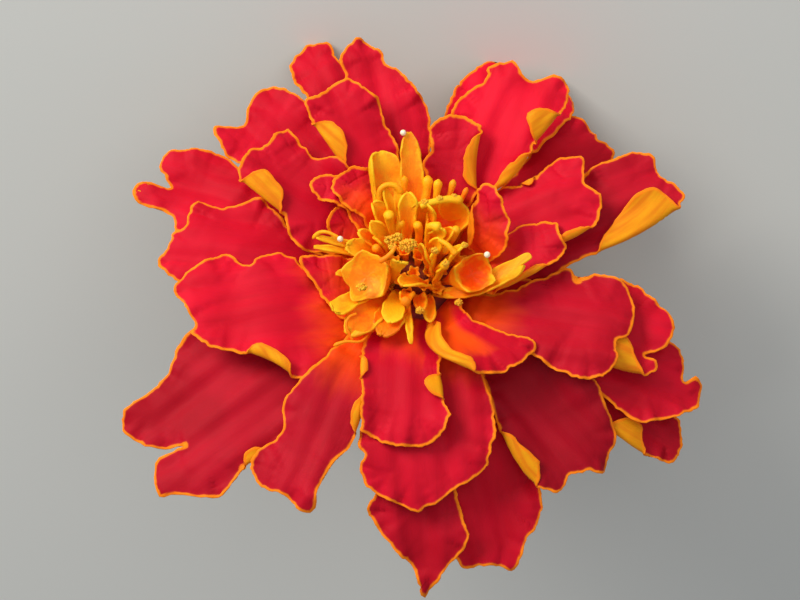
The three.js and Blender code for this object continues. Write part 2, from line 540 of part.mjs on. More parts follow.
// A floret that opens in a bell: up its outside, over its lobed rim and down to the floor inside it.
function bell({ root, mouth, radius, lobes, cut, squash, turn }) {
  const from = rootOf(root, BELL.root);
  const to = vec(...mouth);
  const axis = to.clone().sub(from).normalize();
  const facing = vec(...BELL.face).addScaledVector(axis, BELL.keeps).normalize();
  const ring = (t, opened, inset) => {
    const normal = axis.clone().lerp(facing, opened).normalize();
    const side = vec(...BELL.side).cross(normal).normalize();
    const other = normal.clone().cross(side);
    const centre = from.clone().lerp(to, t);
    const reach = lerp(BELL.foot, radius, opened) - inset;
    return Array.from({ length: 2 * lobes }, (_, i) => {
      const a = (Math.PI * i) / lobes - rad(2 * turn) / lobes;
      const rise = (i % 2 ? -cut : cut) / 2;
      return centre
        .clone()
        .addScaledVector(side, reach * Math.cos(a))
        .addScaledVector(other, reach * squash * Math.sin(a))
        .addScaledVector(normal, rise * opened ** BELL.sharp);
    });
  };
  const outside = BELL.rings.map(([t, opened]) => ring(t, opened, 0));
  return ringSolid([...outside, ring(1, 1, BLADE), ring(...BELL.floor, BLADE)]);
}

// A small tubular floret: a five-sided tube that widens to its mouth.
function tube(k) {
  const { count, turn, mixing, reach, width, short, tall, flare, root, sides, rings } = TUBES;
  const share = Math.sqrt((k + 0.5) / count);
  const angle = rad(turn * k);
  const r = reach * share;
  const from = rootOf([r * Math.cos(angle), r * Math.sin(angle)], root);
  const lean = rad(flare * share);
  const axis = vec(Math.sin(lean) * Math.cos(angle), Math.sin(lean) * Math.sin(angle), Math.cos(lean));
  const height = lerp(tall, short, (k * mixing) % 1);
  const side = vec(0, 0, 1).cross(axis).normalize();
  const other = axis.clone().cross(side);
  const stack = rings.map(([t, w]) =>
    Array.from({ length: sides }, (_, i) => {
      const a = (2 * Math.PI * i) / sides;
      const half = (width / 2) * w;
      return from
        .clone()
        .addScaledVector(axis, t * height)
        .addScaledVector(side, half * Math.cos(a))
        .addScaledVector(other, half * Math.sin(a));
    }),
  );
  return ringSolid(stack);
}

function discFlorets() {
  const tubes = Array.from({ length: TUBES.count }, (_, k) => tube(k));
  const dome = turnedSolid(DOME, DOME_SIDES);
  return wholeBody(join([dome, ...STRAPS.map(strap), ...BELLS.map(bell), ...tubes]));
}

// The ring of n points at radius r and height z, with ridges of the given depth round it.
function ridgedRing(n, r, z, ridges, depth) {
  return Array.from({ length: n }, (_, i) => {
    const a = (2 * Math.PI * i) / n;
    const ridged = r + depth * Math.cos(ridges * a);
    return vec(ridged * Math.cos(a), ridged * Math.sin(a), z);
  });
}

// The green cup under the petals: ribbed, with a low tooth over each rib and a shallow seat inside its rim.
function cup() {
  const { sides, ribs, ribDepth, toothHeight, profile, floor, rimHeight, rimOuter, rimInner } = CUP;
  const widest = profile[0][0];
  const ribbed = ([r, z]) => ridgedRing(sides, r, z, ribs, (ribDepth * r) / widest);
  const rings = [...profile].reverse().map(ribbed);
  const rim = (r) =>
    ridgedRing(sides, r, 0, 0, 0).map((p, i) => {
      const tooth = Math.max(0, Math.cos((ribs * 2 * Math.PI * i) / sides));
      return p.setZ(rimHeight + toothHeight * tooth);
    });
  rings.push(rim(rimOuter), rim(rimInner), ridgedRing(sides, rimInner, floor, 0, 0));
  return ringSolid(rings);
}

function stem() {
  const { sides, ridges, ridge, profile, bend } = STEM;
  const [top, end] = [profile[0][1], profile.at(-1)[1]];
  const rings = [...profile].reverse().map(([r, z]) => {
    const t = (top - z) / (top - end);
    const ring = ridgedRing(sides, r, z, ridges, ridge);
    ring.forEach((p) => p.add(vec(bend[0] * t * t, bend[1] * t * t, 0)));
    return ring;
  });
  return ringSolid(rings);
}

const finish = (color, roughness) => new THREE.MeshStandardMaterial({ color, roughness, metalness: 0 });

const bloom = new THREE.Group();
const pieces = {
  ray_petals: [rayPetals(), finish(0xc01020, 0.6)],
  disc_florets: [discFlorets(), finish(0xff9a10, 0.55)],
  involucre: [cup(), finish(0x5d7f35, 0.6)],
  stem: [stem(), finish(0x6b8a3e, 0.6)],
};
for (const [name, [solid, material]] of Object.entries(pieces)) {
  const mesh = new THREE.Mesh(geometryOf(solid), material);
  mesh.name = name;
  bloom.add(mesh);
}

// Turned to face -Y, leaned on to its back petals and stem, and set down.
bloom.rotation.set(rad(-LEAN), rad(ROLL), 0);
const turned = new THREE.Group();
turned.rotation.z = Math.PI;
turned.position.set(...PLACE);
turned.add(bloom);

const group = new THREE.Group();
group.add(turned);
export default group;
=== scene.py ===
"""A double French marigold, picked with a short stem and laid down.

The bloom is shaped in its own frame, in millimetres: X to the right, Y to the back and Z along its axis. It
is then leaned over into the row frame, in metres, where two back petals and the cut end of the stem touch
the surface.
"""

from __future__ import annotations

import logging
import math
from dataclasses import dataclass
from enum import Enum
from typing import Any

import bpy
import numpy as np
from mathutils import Matrix

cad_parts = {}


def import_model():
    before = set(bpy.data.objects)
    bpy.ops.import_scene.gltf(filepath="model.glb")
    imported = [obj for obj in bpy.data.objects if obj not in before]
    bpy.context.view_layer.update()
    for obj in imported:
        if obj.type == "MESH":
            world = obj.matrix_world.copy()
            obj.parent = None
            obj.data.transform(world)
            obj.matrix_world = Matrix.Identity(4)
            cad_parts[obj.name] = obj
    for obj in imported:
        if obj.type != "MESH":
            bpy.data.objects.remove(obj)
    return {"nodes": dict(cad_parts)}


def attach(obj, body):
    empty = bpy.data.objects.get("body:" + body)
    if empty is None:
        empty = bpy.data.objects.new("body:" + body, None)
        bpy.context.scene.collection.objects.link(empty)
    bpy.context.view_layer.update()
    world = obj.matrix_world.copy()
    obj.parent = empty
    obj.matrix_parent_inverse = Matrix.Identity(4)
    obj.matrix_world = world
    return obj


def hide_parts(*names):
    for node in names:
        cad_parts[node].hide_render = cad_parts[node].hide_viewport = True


LOG = logging.getLogger("marigold")
MM = 0.001
BODY = "root"

Array = np.ndarray
Point = tuple[float, float]
Triple = tuple[float, float, float]
Faces = list[tuple[int, ...]]
Material = bpy.types.Material
Socket = bpy.types.NodeSocket

# How far above the surface every point stays, in mm.
SURFACE_GAP = 0.02
# The distance from a margin that stands for having none, in mm.
NO_MARGIN = 9.0
# How many steps a smooth curve takes between two of the points that it runs through.
CURVE_STEPS = 24
# The least weight of the way past the tip where a blade's margin turns its corners, in mm.
CORNER_PULL = 0.2
# How far apart the seeds of two petals are.
SEED_STEP = 31


class Side(Enum):
    """The stretch of a petal's margin, looking from claw to tip with the face up."""

    LEFT = "left"
    TIP = "tip"
    RIGHT = "right"


class Tip(Enum):
    """How a strap floret ends."""

    ROUND = "round"
    POINT = "point"
    SPOON = "spoon"
    LOBED = "lobed"
    HOOD = "hood"
    CUT = "cut"
    FORK = "fork"


class MarginLine(Enum):
    """A wavy line that a petal's margin is made of, with what sets its seed apart."""

    RAGGED = 5
    CRINKLE = 6
    CALM = 7
    RUFFLE = 11

    def seed(self, index: int) -> int:
        """The line's seed on the petal of that number."""
        return SEED_STEP * index + self.value


def unit(v: Array) -> Array:
    """The vectors in v at length one."""
    return v / np.maximum(np.linalg.norm(v, axis=-1, keepdims=True), 1e-9)


def smooth(x: Array, low: float, high: float) -> Array:
    """Zero below low, one above high, with an even turn between."""
    t = np.clip((np.asarray(x, float) - low) / (high - low), 0, 1)
    return t * t * (3 - 2 * t)


def between(ends: Point, t: Array | float) -> Array:
    """The value at share t of the way between two ends."""
    return ends[0] + (ends[1] - ends[0]) * t


def angles(count: int) -> Array:
    """That many even angles round a circle, from 0."""
    return np.linspace(0, 2 * np.pi, count, endpoint=False)


def linear(red: float, green: float, blue: float) -> tuple[float, ...]:
    """A colour given in 0 to 255, as the shader's linear values with a full alpha."""
    parts = [c / 255 for c in (red, green, blue)]
    return (*(c / 12.92 if c <= 0.04045 else ((c + 0.055) / 1.055) ** 2.4 for c in parts), 1.0)


@dataclass(frozen=True)
class WaveRule:
    """How a wobble is summed."""

    count: int = 5
    first: float = 0.55
    step: float = 0.42
    stray: float = 0.2
    fade: float = 0.75
    peak: float = 2.2


WAVES = WaveRule()


def wobble(p: Array, seed: int, wave: float) -> Array:
    """A smooth line of about -1 to 1.

    Args:
        p: Distances along the line, in mm.
        seed: Picks the line.
        wave: The typical length of one wave, in mm.

    Returns:
        The line's height at each distance.
    """
    rng = np.random.default_rng(seed)
    total = np.zeros_like(p)
    for k in range(WAVES.count):
        pitch = (WAVES.first + WAVES.step * k + WAVES.stray * rng.random()) / wave
        total += WAVES.fade**k * np.sin(2 * np.pi * (pitch * p + rng.random()))
    return total / WAVES.peak


def smooth_curve(points: tuple[Point, ...], count: int) -> Array:
    """Points at even steps along a smooth curve through flat points.

    Args:
        points: The points that the curve runs through.
        count: How many points to return.

    Returns:
        An array of count rows of two.
    """
    p = np.asarray(points, float)
    p = np.vstack([2 * p[0] - p[1], p, 2 * p[-1] - p[-2]])
    t = np.linspace(0, 1, CURVE_STEPS, endpoint=False)[:, None]
    runs = []
    for a, b, c, d in zip(p, p[1:], p[2:], p[3:]):
        squared, cubed = 2 * a - 5 * b + 4 * c - d, 3 * b - a - 3 * c + d
        runs.append(0.5 * (2 * b + (c - a) * t + squared * t**2 + cubed * t**3))
    line = np.vstack([*runs, p[-2:-1]])
    reach = arc(line)
    at = np.linspace(0, reach[-1], count)
    return np.stack([np.interp(at, reach, line[:, k]) for k in range(2)], 1)


def arc(line: Array) -> Array:
    """The distance along a line of points, at each point."""
    return np.concatenate([[0.0], np.cumsum(np.linalg.norm(np.diff(line, axis=0), axis=1))])


@dataclass(frozen=True)
class Pose:
    """How the bloom lies: leaned about X, rolled on to both back petals, and set on the surface."""

    lean: float = 52.23
    roll: float = 7.35
    place: Triple = (0.51, -0.25, 18.57)

    def turn(self) -> Array:
        """The rotation from the bloom's frame to the row frame."""
        about_z = Matrix.Rotation(math.pi, 3, "Z")
        about_x = Matrix.Rotation(-math.radians(self.lean), 3, "X")
        about_y = Matrix.Rotation(math.radians(self.roll), 3, "Y")
        return np.array(about_z @ about_x @ about_y)

    def to_row(self, points: Array) -> Array:
        """Points in the bloom's frame, in mm, as points in the row frame, in metres."""
        return (np.asarray(points, float) @ self.turn().T + np.array(self.place)) * MM


POSE = Pose()


@dataclass(frozen=True)
class Sight:
    """Where the bloom is seen from: its tilt in degrees from the axis to the front, and the camera in mm."""

    tilt: float = 22.0
    distance: float = 200.0
    aside: Point = (-1.2, -1.0)
    lens: float = 90.0
    sensor: float = 36.0
    nearest: float = 10.0

    def axes(self) -> Array:
        """Right, up and back of the view, as rows in the bloom's frame."""
        c, s = math.cos(math.radians(self.tilt)), math.sin(math.radians(self.tilt))
        return np.array([[1, 0, 0], [0, c, s], [0, -s, c]])


SIGHT = Sight()


# The single values kept at each point of a piece.
VALUES = ("margin", "reverse", "tone", "painted_shading", "flush")


class MeshMaker:
    """Gathers closed surfaces with values at their points, and makes one piece of them."""

    def __init__(self, name: str) -> None:
        """Starts an empty piece.

        Args:
            name: Its name.
        """
        self.name = name
        self.points: list[Array] = []
        self.faces: Faces = []
        self.kinds: list[int] = []
        self.values: dict[str, list[Array]] = {key: [] for key in (*VALUES, "flat")}
        self.count = 0

    def add(
        self,
        points: Array,
        faces: Faces,
        margin: Array | float = NO_MARGIN,
        reverse: Array | float = 0.0,
        tone: Array | float = 0.5,
        flat: Array | None = None,
        painted_shading: float = 1.0,
        flush: Array | float = 0.0,
        kind: int = 0,
    ) -> None:
        """Adds one closed surface.

        Args:
            points: Its points in the bloom's frame, in mm.
            faces: Its faces, facing out.
            margin: The distance of each point from the blade's margin, in mm.
            reverse: 1 on the underside of a blade and 0 on its face.
            tone: A colour position from 0 to 1.
            flat: The points laid flat, in mm, for patterns that follow the blade.
            painted_shading: How much lighter or darker the blade is painted for the light and shadow that
                fall on it, 1 being plain: painted light and shading.
            flush: How much further than plain its flush reaches at each point, in mm.
            kind: The index of the material.
        """
        n = len(points)
        self.points.append(points)
        self.faces += [tuple(i + self.count for i in face) for face in faces]
        self.kinds += [kind] * len(faces)
        for key, value in zip(VALUES, (margin, reverse, tone, painted_shading, flush)):
            self.values[key].append(np.broadcast_to(np.asarray(value, float), (n,)))
        self.values["flat"].append(points if flat is None else flat)
        self.count += n

    def finish(self, materials: list[Material], node: str, slot: str) -> bpy.types.Object:
        """Makes the piece, dresses it and seats it on the frame.

        Args:
            materials: Its materials, in the order of their kinds.
            node: The CAD node that it stands for.
            slot: The record's material slot, which is not used.

        Returns:
            The new object.
        """
        rows = POSE.to_row(np.vstack(self.points))
        rows[:, 2] = np.maximum(rows[:, 2], SURFACE_GAP * MM)
        mesh = bpy.data.meshes.new(self.name)
        mesh.from_pydata(rows.tolist(), [], self.faces)
        for key in VALUES:
            layer = mesh.attributes.new(key, "FLOAT", "POINT")
            layer.data.foreach_set("value", np.concatenate(self.values[key]).astype(np.float32))
        layer = mesh.attributes.new("flat", "FLOAT_VECTOR", "POINT")
        layer.data.foreach_set("vector", np.vstack(self.values["flat"]).astype(np.float32).ravel())
        for material in materials:
            mesh.materials.append(material)
        mesh.polygons.foreach_set("material_index", self.kinds)
        mesh.polygons.foreach_set("use_smooth", [True] * len(self.faces))
        mesh.update()
        piece = bpy.data.objects.new(self.name, mesh)
        bpy.context.scene.collection.objects.link(piece)
        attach(piece, BODY)
        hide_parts(node)
        LOG.info("%s: %d faces", self.name, len(self.faces))
        return piece


def blade(grid: Array, thickness: Array | float, bead: float) -> tuple[Array, Faces, Array]:
    """A closed thin blade round a grid of points.

    Args:
        grid: Points from the left side to the right, and from root to tip.
        thickness: Its thickness, in mm, or that at each point.
        bead: How far its rounded margin stands out past the grid, in mm.

    Returns:
        Its points (face, underside, margin), its faces, and the grid index of each margin point.
    """
    m, n = grid.shape[:2]
    normal = unit(np.cross(np.gradient(grid, axis=0), np.gradient(grid, axis=1)))
    rows, columns = np.arange(m), np.arange(n)
    loop = np.concatenate([
        np.zeros(n - 1, int) * n + columns[:-1],
        rows[:-1] * n + n - 1,
        (m - 1) * n + columns[:0:-1],
        rows[:0:-1] * n,
    ])
    out = np.zeros_like(grid)
    out[0] += grid[0] - grid[1]
    out[-1] += grid[-1] - grid[-2]
    past_tip = unit(grid[:, -1] - grid[:, -2])
    out[:, -1] += past_tip * np.linalg.norm(out[:, -1], axis=-1, keepdims=True).clip(CORNER_PULL)
    half = normal * np.broadcast_to(thickness, grid.shape[:2])[..., None] / 2
    flat_grid, flat_half, flat_out = (a.reshape(-1, 3) for a in (grid, half, unit(out)))
    rim = flat_grid[loop] + flat_out[loop] * bead
    points = np.vstack([flat_grid + flat_half, flat_grid - flat_half, rim])
    size = m * n
    faces: Faces = []
    for i in range(m - 1):
        for j in range(n - 1):
            a, b, c, d = i * n + j, (i + 1) * n + j, (i + 1) * n + j + 1, i * n + j + 1
            faces.append((a, b, c, d))
            faces.append((size + d, size + c, size + b, size + a))
    turns = len(loop)
    for k in range(turns):
        a, b = int(loop[k]), int(loop[(k + 1) % turns])
        p, q = 2 * size + k, 2 * size + (k + 1) % turns
        faces.append((a, b, q, p))
        faces.append((p, q, size + b, size + a))
    return points, faces, loop


def all_round(values: Array, loop: Array, under: float = 0.0, rim: float = 0.0) -> Array:
    """Values on a blade's grid, carried round to its underside and its margin.

    Args:
        values: The values, one for each point of the grid.
        loop: The grid index of each margin point.
        under: What the underside has on top.
        rim: What the margin has on top.

    Returns:
        The values for face, underside and margin.
    """
    return np.concatenate([values, values + under, values[loop] + rim])


def ringed(rings: Array) -> tuple[Array, Faces]:
    """A closed surface through a stack of rings of points, with a flat fan on each end.

    Args:
        rings: An array of rings, each of the same number of points, turning left as seen from its last ring.

    Returns:
        Its points and its faces.
    """
    m, n = rings.shape[:2]
    points = np.vstack([rings.reshape(-1, 3), rings[0].mean(0), rings[-1].mean(0)])
    faces: Faces = []
    for k in range(m - 1):
        for i in range(n):
            a, b = k * n + i, k * n + (i + 1) % n
            faces.append((a, b, b + n, a + n))
    last = (m - 1) * n
    for i in range(n):
        j = (i + 1) % n
        faces.append((j, i, m * n))
        faces.append((last + i, last + j, m * n + 1))
    return points, faces


def level_ring(reach: Array | float, a: Array, z: Array | float) -> Array:
    """A level ring of points round the bloom's axis, at the angles a."""
    return np.stack([reach * np.cos(a), reach * np.sin(a), z + 0 * a], 1)


def turned(profile: tuple[Point, ...], sides: int) -> tuple[Array, Faces]:
    """A closed round body with that profile of radius and height about the bloom's axis."""
    return ringed(np.array([level_ring(r, angles(sides), z) for r, z in profile]))


def ball(centre: Array, radius: float, sides: int, rings: int) -> tuple[Array, Faces]:
    """A closed ball.

    Args:
        centre: Its centre, in mm.
        radius: Its radius, in mm.
        sides: How many points it has round it.
        rings: How many bands it has from pole to pole.

    Returns:
        Its points and its faces.
    """
    ups = [np.pi * (k / rings - 0.5) for k in range(1, rings)]
    stack = [centre + radius * level_ring(np.cos(b), angles(sides), np.sin(b)) for b in ups]
    points, faces = ringed(np.array(stack))
    points[-2], points[-1] = centre - [0, 0, radius], centre + [0, 0, radius]
    return points, faces


class Shader:
    """A material of nodes under construction, with helpers that read as sums."""

    def __init__(self, name: str, **constants: Any) -> None:
        """Starts the material.

        Args:
            name: Its name.
            **constants: Values set straight on the shader's sockets, with _ for a space.
        """
        self.material = bpy.data.materials.new(name)
        self.material.use_nodes = True
        self.tree = self.material.node_tree
        self.tree.nodes.clear()
        self.body = self.tree.nodes.new("ShaderNodeBsdfPrincipled")
        out = self.tree.nodes.new("ShaderNodeOutputMaterial")
        self.tree.links.new(self.body.outputs[0], out.inputs[0])
        for key, value in constants.items():
            self.body.inputs[key.replace("_", " ")].default_value = value

    def node(self, kind: str, inputs: dict[Any, Any] | None = None, **settings: Any) -> bpy.types.Node:
        """Adds a node.

        Args:
            kind: Its type.
            inputs: Values or sockets for its inputs, by name or number.
            **settings: Its properties.

        Returns:
            The node.
        """
        made = self.tree.nodes.new(kind)
        for key, value in settings.items():
            setattr(made, key, value)
        for key, value in (inputs or {}).items():
            if isinstance(value, Socket):
                self.tree.links.new(value, made.inputs[key])
            else:
                made.inputs[key].default_value = value
        return made

    def value(self, name: str) -> Socket:
        """The value stored at the points under that name."""
        return self.node("ShaderNodeAttribute", attribute_name=name).outputs["Fac"]

    def vector(self, name: str, scale: Triple = (1, 1, 1)) -> Socket:
        """The vector stored at the points under that name, times scale."""
        stored = self.node("ShaderNodeAttribute", attribute_name=name).outputs["Vector"]
        return self.node("ShaderNodeVectorMath", {0: stored, 1: scale}, operation="MULTIPLY").outputs[0]

    def math(self, operation: str, a: Any, b: Any = 0.0) -> Socket:
        """One sum of two values or sockets."""
        return self.node("ShaderNodeMath", {0: a, 1: b}, operation=operation).outputs[0]

    def about(self, x: Any, middle: float, swing: float) -> Socket:
        """How far x is from a middle value, times swing."""
        return self.math("MULTIPLY", self.math("SUBTRACT", x, middle), swing)

    def step(self, x: Any, low: Any, high: Any, first: float = 0.0, last: float = 1.0) -> Socket:
        """A smooth turn from first to last as x goes from low to high."""
        inputs = {"Value": x, "From Min": low, "From Max": high, "To Min": first, "To Max": last}
        return self.node("ShaderNodeMapRange", inputs, interpolation_type="SMOOTHSTEP").outputs[0]

    def noise(self, vector: Any, scale: float, detail: float = 3.0, rough: float = 0.55) -> Socket:
        """A cloudy value from 0 to 1."""
        inputs = {"Vector": vector, "Scale": scale, "Detail": detail, "Roughness": rough}
        return self.node("ShaderNodeTexNoise", inputs).outputs["Fac"]

    def mix(self, factor: Any, a: Triple | Socket, b: Triple | Socket) -> Socket:
        """A colour between a and b, each a socket or given in 0 to 255."""
        a, b = (c if isinstance(c, Socket) else linear(*c) for c in (a, b))
        return self.node("ShaderNodeMix", {0: factor, 6: a, 7: b}, data_type="RGBA").outputs[2]

    def scaled(self, colour: Any, factor: Any) -> Socket:
        """The colour made lighter or darker by a factor."""
        return self.node("ShaderNodeVectorMath", {0: colour, "Scale": factor}, operation="SCALE").outputs[0]

    def bump(self, height: Any, strength: float, distance: float) -> None:
        """Raises the surface by height, in metres of distance."""
        made = self.node("ShaderNodeBump", {"Height": height, "Strength": strength, "Distance": distance})
        self.tree.links.new(made.outputs[0], self.body.inputs["Normal"])

    def colour(self, socket: Socket) -> None:
        """Uses the socket as the base colour."""
        self.tree.links.new(socket, self.body.inputs["Base Color"])


@dataclass(frozen=True)
class PetalVelvet:
    """The ray petals' finish: velvety red with an orange margin and flush, and a golden underside; each
    petal's red is lightened or darkened as painted light and shading.
    """

    red: Triple = (190, 5, 32)
    light_red: Triple = (208, 10, 40)
    dark_red: Triple = (168, 4, 24)
    orange: Triple = (255, 134, 14)
    flush: Triple = (244, 76, 6)
    gold: Triple = (242, 158, 14)
    deep_gold: Triple = (226, 122, 10)
    margin_width: float = 0.16
    margin_stray: float = 0.3
    flush_reach: float = 5.2
    flush_stray: float = 6.0

    def build(self) -> Material:
        """The material."""
        s = Shader("petal_velvet", Roughness=0.62, Sheen_Weight=0.05, Sheen_Roughness=0.4,
                   Sheen_Tint=(1.0, 0.3, 0.4, 1.0), Specular_IOR_Level=0.12, Subsurface_Weight=0.1,
                   Subsurface_Scale=0.0006, Subsurface_Radius=(1.0, 0.15, 0.1))
        flat = s.vector("flat")
        along = s.node("ShaderNodeSeparateXYZ", {0: flat}).outputs[1]
        cloud = s.noise(flat, scale=0.16, detail=2.0)
        streak = s.noise(s.vector("flat", (1.5, 0.13, 1.0)), scale=1.0, rough=0.5)
        red = s.mix(s.step(cloud, 0.35, 0.68), self.red, self.light_red)
        red = s.mix(s.step(streak, 0.5, 0.85, last=0.32), red, self.dark_red)
        patch = s.noise(s.vector("flat", (0.4, 0.1, 1.0)), scale=1.0)
        reach = s.math("MULTIPLY", patch, self.flush_stray)
        reach = s.math("ADD", reach, self.flush_reach - self.flush_stray / 2)
        reach = s.math("ADD", reach, s.value("flush"))
        # Painted light and shading: each petal's red is made lighter where light falls on it and darker where
        # it lies in shadow.
        red = s.scaled(red, s.value("painted_shading"))
        face = s.mix(s.step(s.math("SUBTRACT", along, reach), 3.0, -3.0), red, self.flush)
        gold = s.mix(s.step(streak, 0.35, 0.7), self.gold, self.deep_gold)
        width = s.math("MULTIPLY", s.noise(flat, scale=0.7, detail=2.0), self.margin_stray)
        width = s.math("ADD", width, self.margin_width - self.margin_stray / 2)
        edge = s.step(s.math("SUBTRACT", s.value("margin"), width), 0.14, -0.06)
        both = s.mix(s.step(s.value("reverse"), 0.35, 0.65), face, gold)
        s.colour(s.mix(edge, both, self.orange))
        furrow = s.noise(s.vector("flat", (1.8, 0.1, 1.0)), scale=1.0)
        broad = s.math("MULTIPLY", furrow, 0.5)
        grain = s.math("MULTIPLY", s.noise(flat, scale=9.0, detail=2.0), 0.1)
        s.bump(s.math("ADD", broad, grain), strength=0.3, distance=0.0002)
        return s.material


@dataclass(frozen=True)
class FloretSatin:
    """The disc florets' finish: orange red low down, through orange, to yellow at the margins and tips."""

    low: Triple = (250, 82, 4)
    middle: Triple = (255, 136, 8)
    high: Triple = (255, 174, 16)
    bright: Triple = (255, 192, 26)

    def build(self) -> Material:
        """The material."""
        s = Shader("floret_satin", Roughness=0.5, Specular_IOR_Level=0.18, Subsurface_Weight=0.25,
                   Subsurface_Scale=0.0008, Subsurface_Radius=(1.0, 0.6, 0.2))
        flat = s.vector("flat")
        tone = s.math("ADD", s.value("tone"), s.about(s.noise(flat, scale=0.8), 0.5, 0.9))
        warm = s.mix(s.step(tone, 0.02, 0.5), self.low, self.middle)
        warm = s.mix(s.step(tone, 0.5, 0.9), warm, self.high)
        warm = s.mix(s.step(tone, 0.95, 1.25), warm, self.bright)
        stray = s.about(s.noise(flat, scale=0.6), 0.42, 2.4)
        edge = s.step(s.math("ADD", s.value("margin"), stray), 0.45, 0.0, last=0.7)
        s.colour(s.mix(edge, warm, self.bright))
        s.bump(s.noise(flat, scale=5.0), strength=0.4, distance=0.00012)
        return s.material


@dataclass(frozen=True)
class Mottle:
    """A plain mottled finish of two colours with a fine grain."""

    name: str
    first: Triple
    second: Triple
    scale: float
    rough: float
    glow: float = 0.1

    def build(self) -> Material:
        """The material."""
        s = Shader(self.name, Roughness=self.rough, Subsurface_Weight=self.glow, Subsurface_Scale=0.0006,
                   Subsurface_Radius=(1.0, 0.6, 0.2))
        flat = s.vector("flat")
        s.colour(s.mix(s.step(s.noise(flat, self.scale), 0.35, 0.65), self.first, self.second))
        s.bump(s.noise(flat, 4 * self.scale), strength=0.5, distance=0.00015)
        return s.material


@dataclass(frozen=True)
class GreenSkin:
    """The cup's and stem's finish: satin green with pale ribs, darker glands and a reddish flush."""

    name: str
    pale: Triple = (146, 170, 86)
    green: Triple = (84, 122, 48)
    dark: Triple = (44, 70, 28)
    flush: Triple = (126, 74, 50)

    def build(self) -> Material:
        """The material, which reads 0 to 1 in tone from valley to rib and over 1 on a gland."""
        s = Shader(self.name, Roughness=0.45, Specular_IOR_Level=0.45, Subsurface_Weight=0.1,
                   Subsurface_Scale=0.0006, Subsurface_Radius=(0.5, 1.0, 0.3))
        streak = s.noise(s.vector("flat", (2.2, 2.2, 0.3)), scale=1.0, detail=4.0)
        tone = s.value("tone")
        colour = s.mix(s.step(tone, 0.1, 0.95), self.green, self.pale)
        colour = s.mix(s.step(streak, 0.42, 0.72, last=0.6), colour, self.green)
        blush = s.step(s.noise(s.vector("flat"), scale=0.14), 0.5, 0.75, last=0.55)
        colour = s.mix(blush, colour, self.flush)
        s.colour(s.mix(s.step(tone, 1.05, 1.3), colour, self.dark))
        grain = s.math("MULTIPLY", s.noise(s.vector("flat"), scale=6.0), 0.4)
        s.bump(s.math("ADD", streak, grain), strength=0.5, distance=0.00018)
        return s.material


# A half turn of a roll takes up this much more blade than it spans, in radii.
ROLL_TAKES = 1.14
# The share of a fold at each end over which its roll eases in.
FOLD_EASE = 0.12
# A curl is given room only where its side has more than this many points along the fold.
LEAST_SPAN = 4
# How far from the claw a margin strays and ruffles in full, in mm.
CLAW_FREE = 5.0


@dataclass(frozen=True)
class Curl:
    """A flap of margin folded over on to the face in a soft roll, in mm and degrees.

    Attributes:
        side: The side of the petal it is on.
        start: The end of the fold nearer the claw, laid flat.
        end: The other end of the fold.
        lies: The points over which its free edge comes to lie, from start to end.
        bow: How far the fold bows out at its middle.
        turn: How far it is turned over.
        radius: The radius of the roll.
    """

    side: Side
    start: Point
    end: Point
    lies: tuple[Point, ...]
    bow: float = 0.0
    turn: float = 166.0
    radius: float = 0.32

    def across(self, flat: Array, hand: int) -> tuple[Array, Array, Array]:
        """Where points lie about the fold.

        Args:
            flat: Flat points.
            hand: 1 where the outside is on the right of the fold, and -1 on its left.

        Returns:
            The share of the fold at which each lies, how far outside it is in mm, and the way outwards.
        """
        start = np.array(self.start)
        chord = np.array(self.end) - start
        length = float(np.linalg.norm(chord))
        way = np.array([chord[1], -chord[0]]) * hand / length
        share = (flat - start) @ chord / length**2
        return share, (flat - start) @ way - 4 * self.bow * share * (1 - share), way

    def unfolded(self, hand: int, count: int) -> Array:
        """The free edge laid flat, with as much blade as the roll takes up.

        Args:
            hand: As in across.
            count: How many points it has.

        Returns:
            Its points.
        """
        _, past, way = self.across(np.array(self.lies), hand)
        reach = np.maximum(-past, 0)
        out = 2 * reach + ROLL_TAKES * np.minimum(reach, self.radius)
        moved = np.array(self.lies) + out[:, None] * way
        return smooth_curve((self.start, *(tuple(p) for p in moved), self.end), count)

    def fold(self, flat: Array, hand: int) -> tuple[Array, Array, Array]:
        """Folds flat points over.

        Args:
            flat: Flat points.
            hand: As in across.

        Returns:
            The points where they come to lie, how high over the face they are, and 1 where they are folded.
        """
        share, past, way = self.across(flat, hand)
        ease = smooth(share, 0.0, FOLD_EASE) * smooth(1 - share, 0.0, FOLD_EASE)
        past = past + self.radius * ease
        inside = (share > 0) & (share < 1) & (past > 0)
        turn = math.radians(self.turn)
        angle = np.clip(past / self.radius, 0, turn)
        rest = np.maximum(past - self.radius * turn, 0)
        shift = np.where(inside, past - self.radius * np.sin(angle) - rest * math.cos(turn), 0)
        lift = np.where(inside, self.radius * (1 - np.cos(angle)) + rest * math.sin(turn), 0)
        return flat - shift[..., None] * way, lift, np.where(inside, smooth(past, 0.0, self.radius), 0)


@dataclass(frozen=True)
class SpineRule:
    """How every petal's middle line is drawn: its steps in mm, and its bends as shares of its length.

    At the first bend it has early[0] of the claw's rise and early[1] of the middle's.
    """

    reach: float = 40.0
    step: float = 0.2
    bend: float = 0.12
    early: Point = (0.6, 0.4)
    middle: float = 0.45
    even: tuple[float, ...] = (-0.1, -0.05, 0.0, 0.05, 0.1)


@dataclass(frozen=True)
class Relief:
    """How every petal's cup and middle fold are measured."""

    start: float = 8.0
    half: float = 6.0
    crease: float = 0.25


@dataclass(frozen=True)
class Pleats:
    """The soft pleats along every petal, in mm: broad ones, with finer ones half as wide between them.

    Turn moves each kind on from petal to petal, and drift moves it across along the petal, in radians.
    """

    depth: float = 0.14
    fine: float = 0.5
    width: float = 4.3
    start: float = 14.0
    turn: Point = (2.4, 1.7)
    drift: Point = (0.12, -0.2)


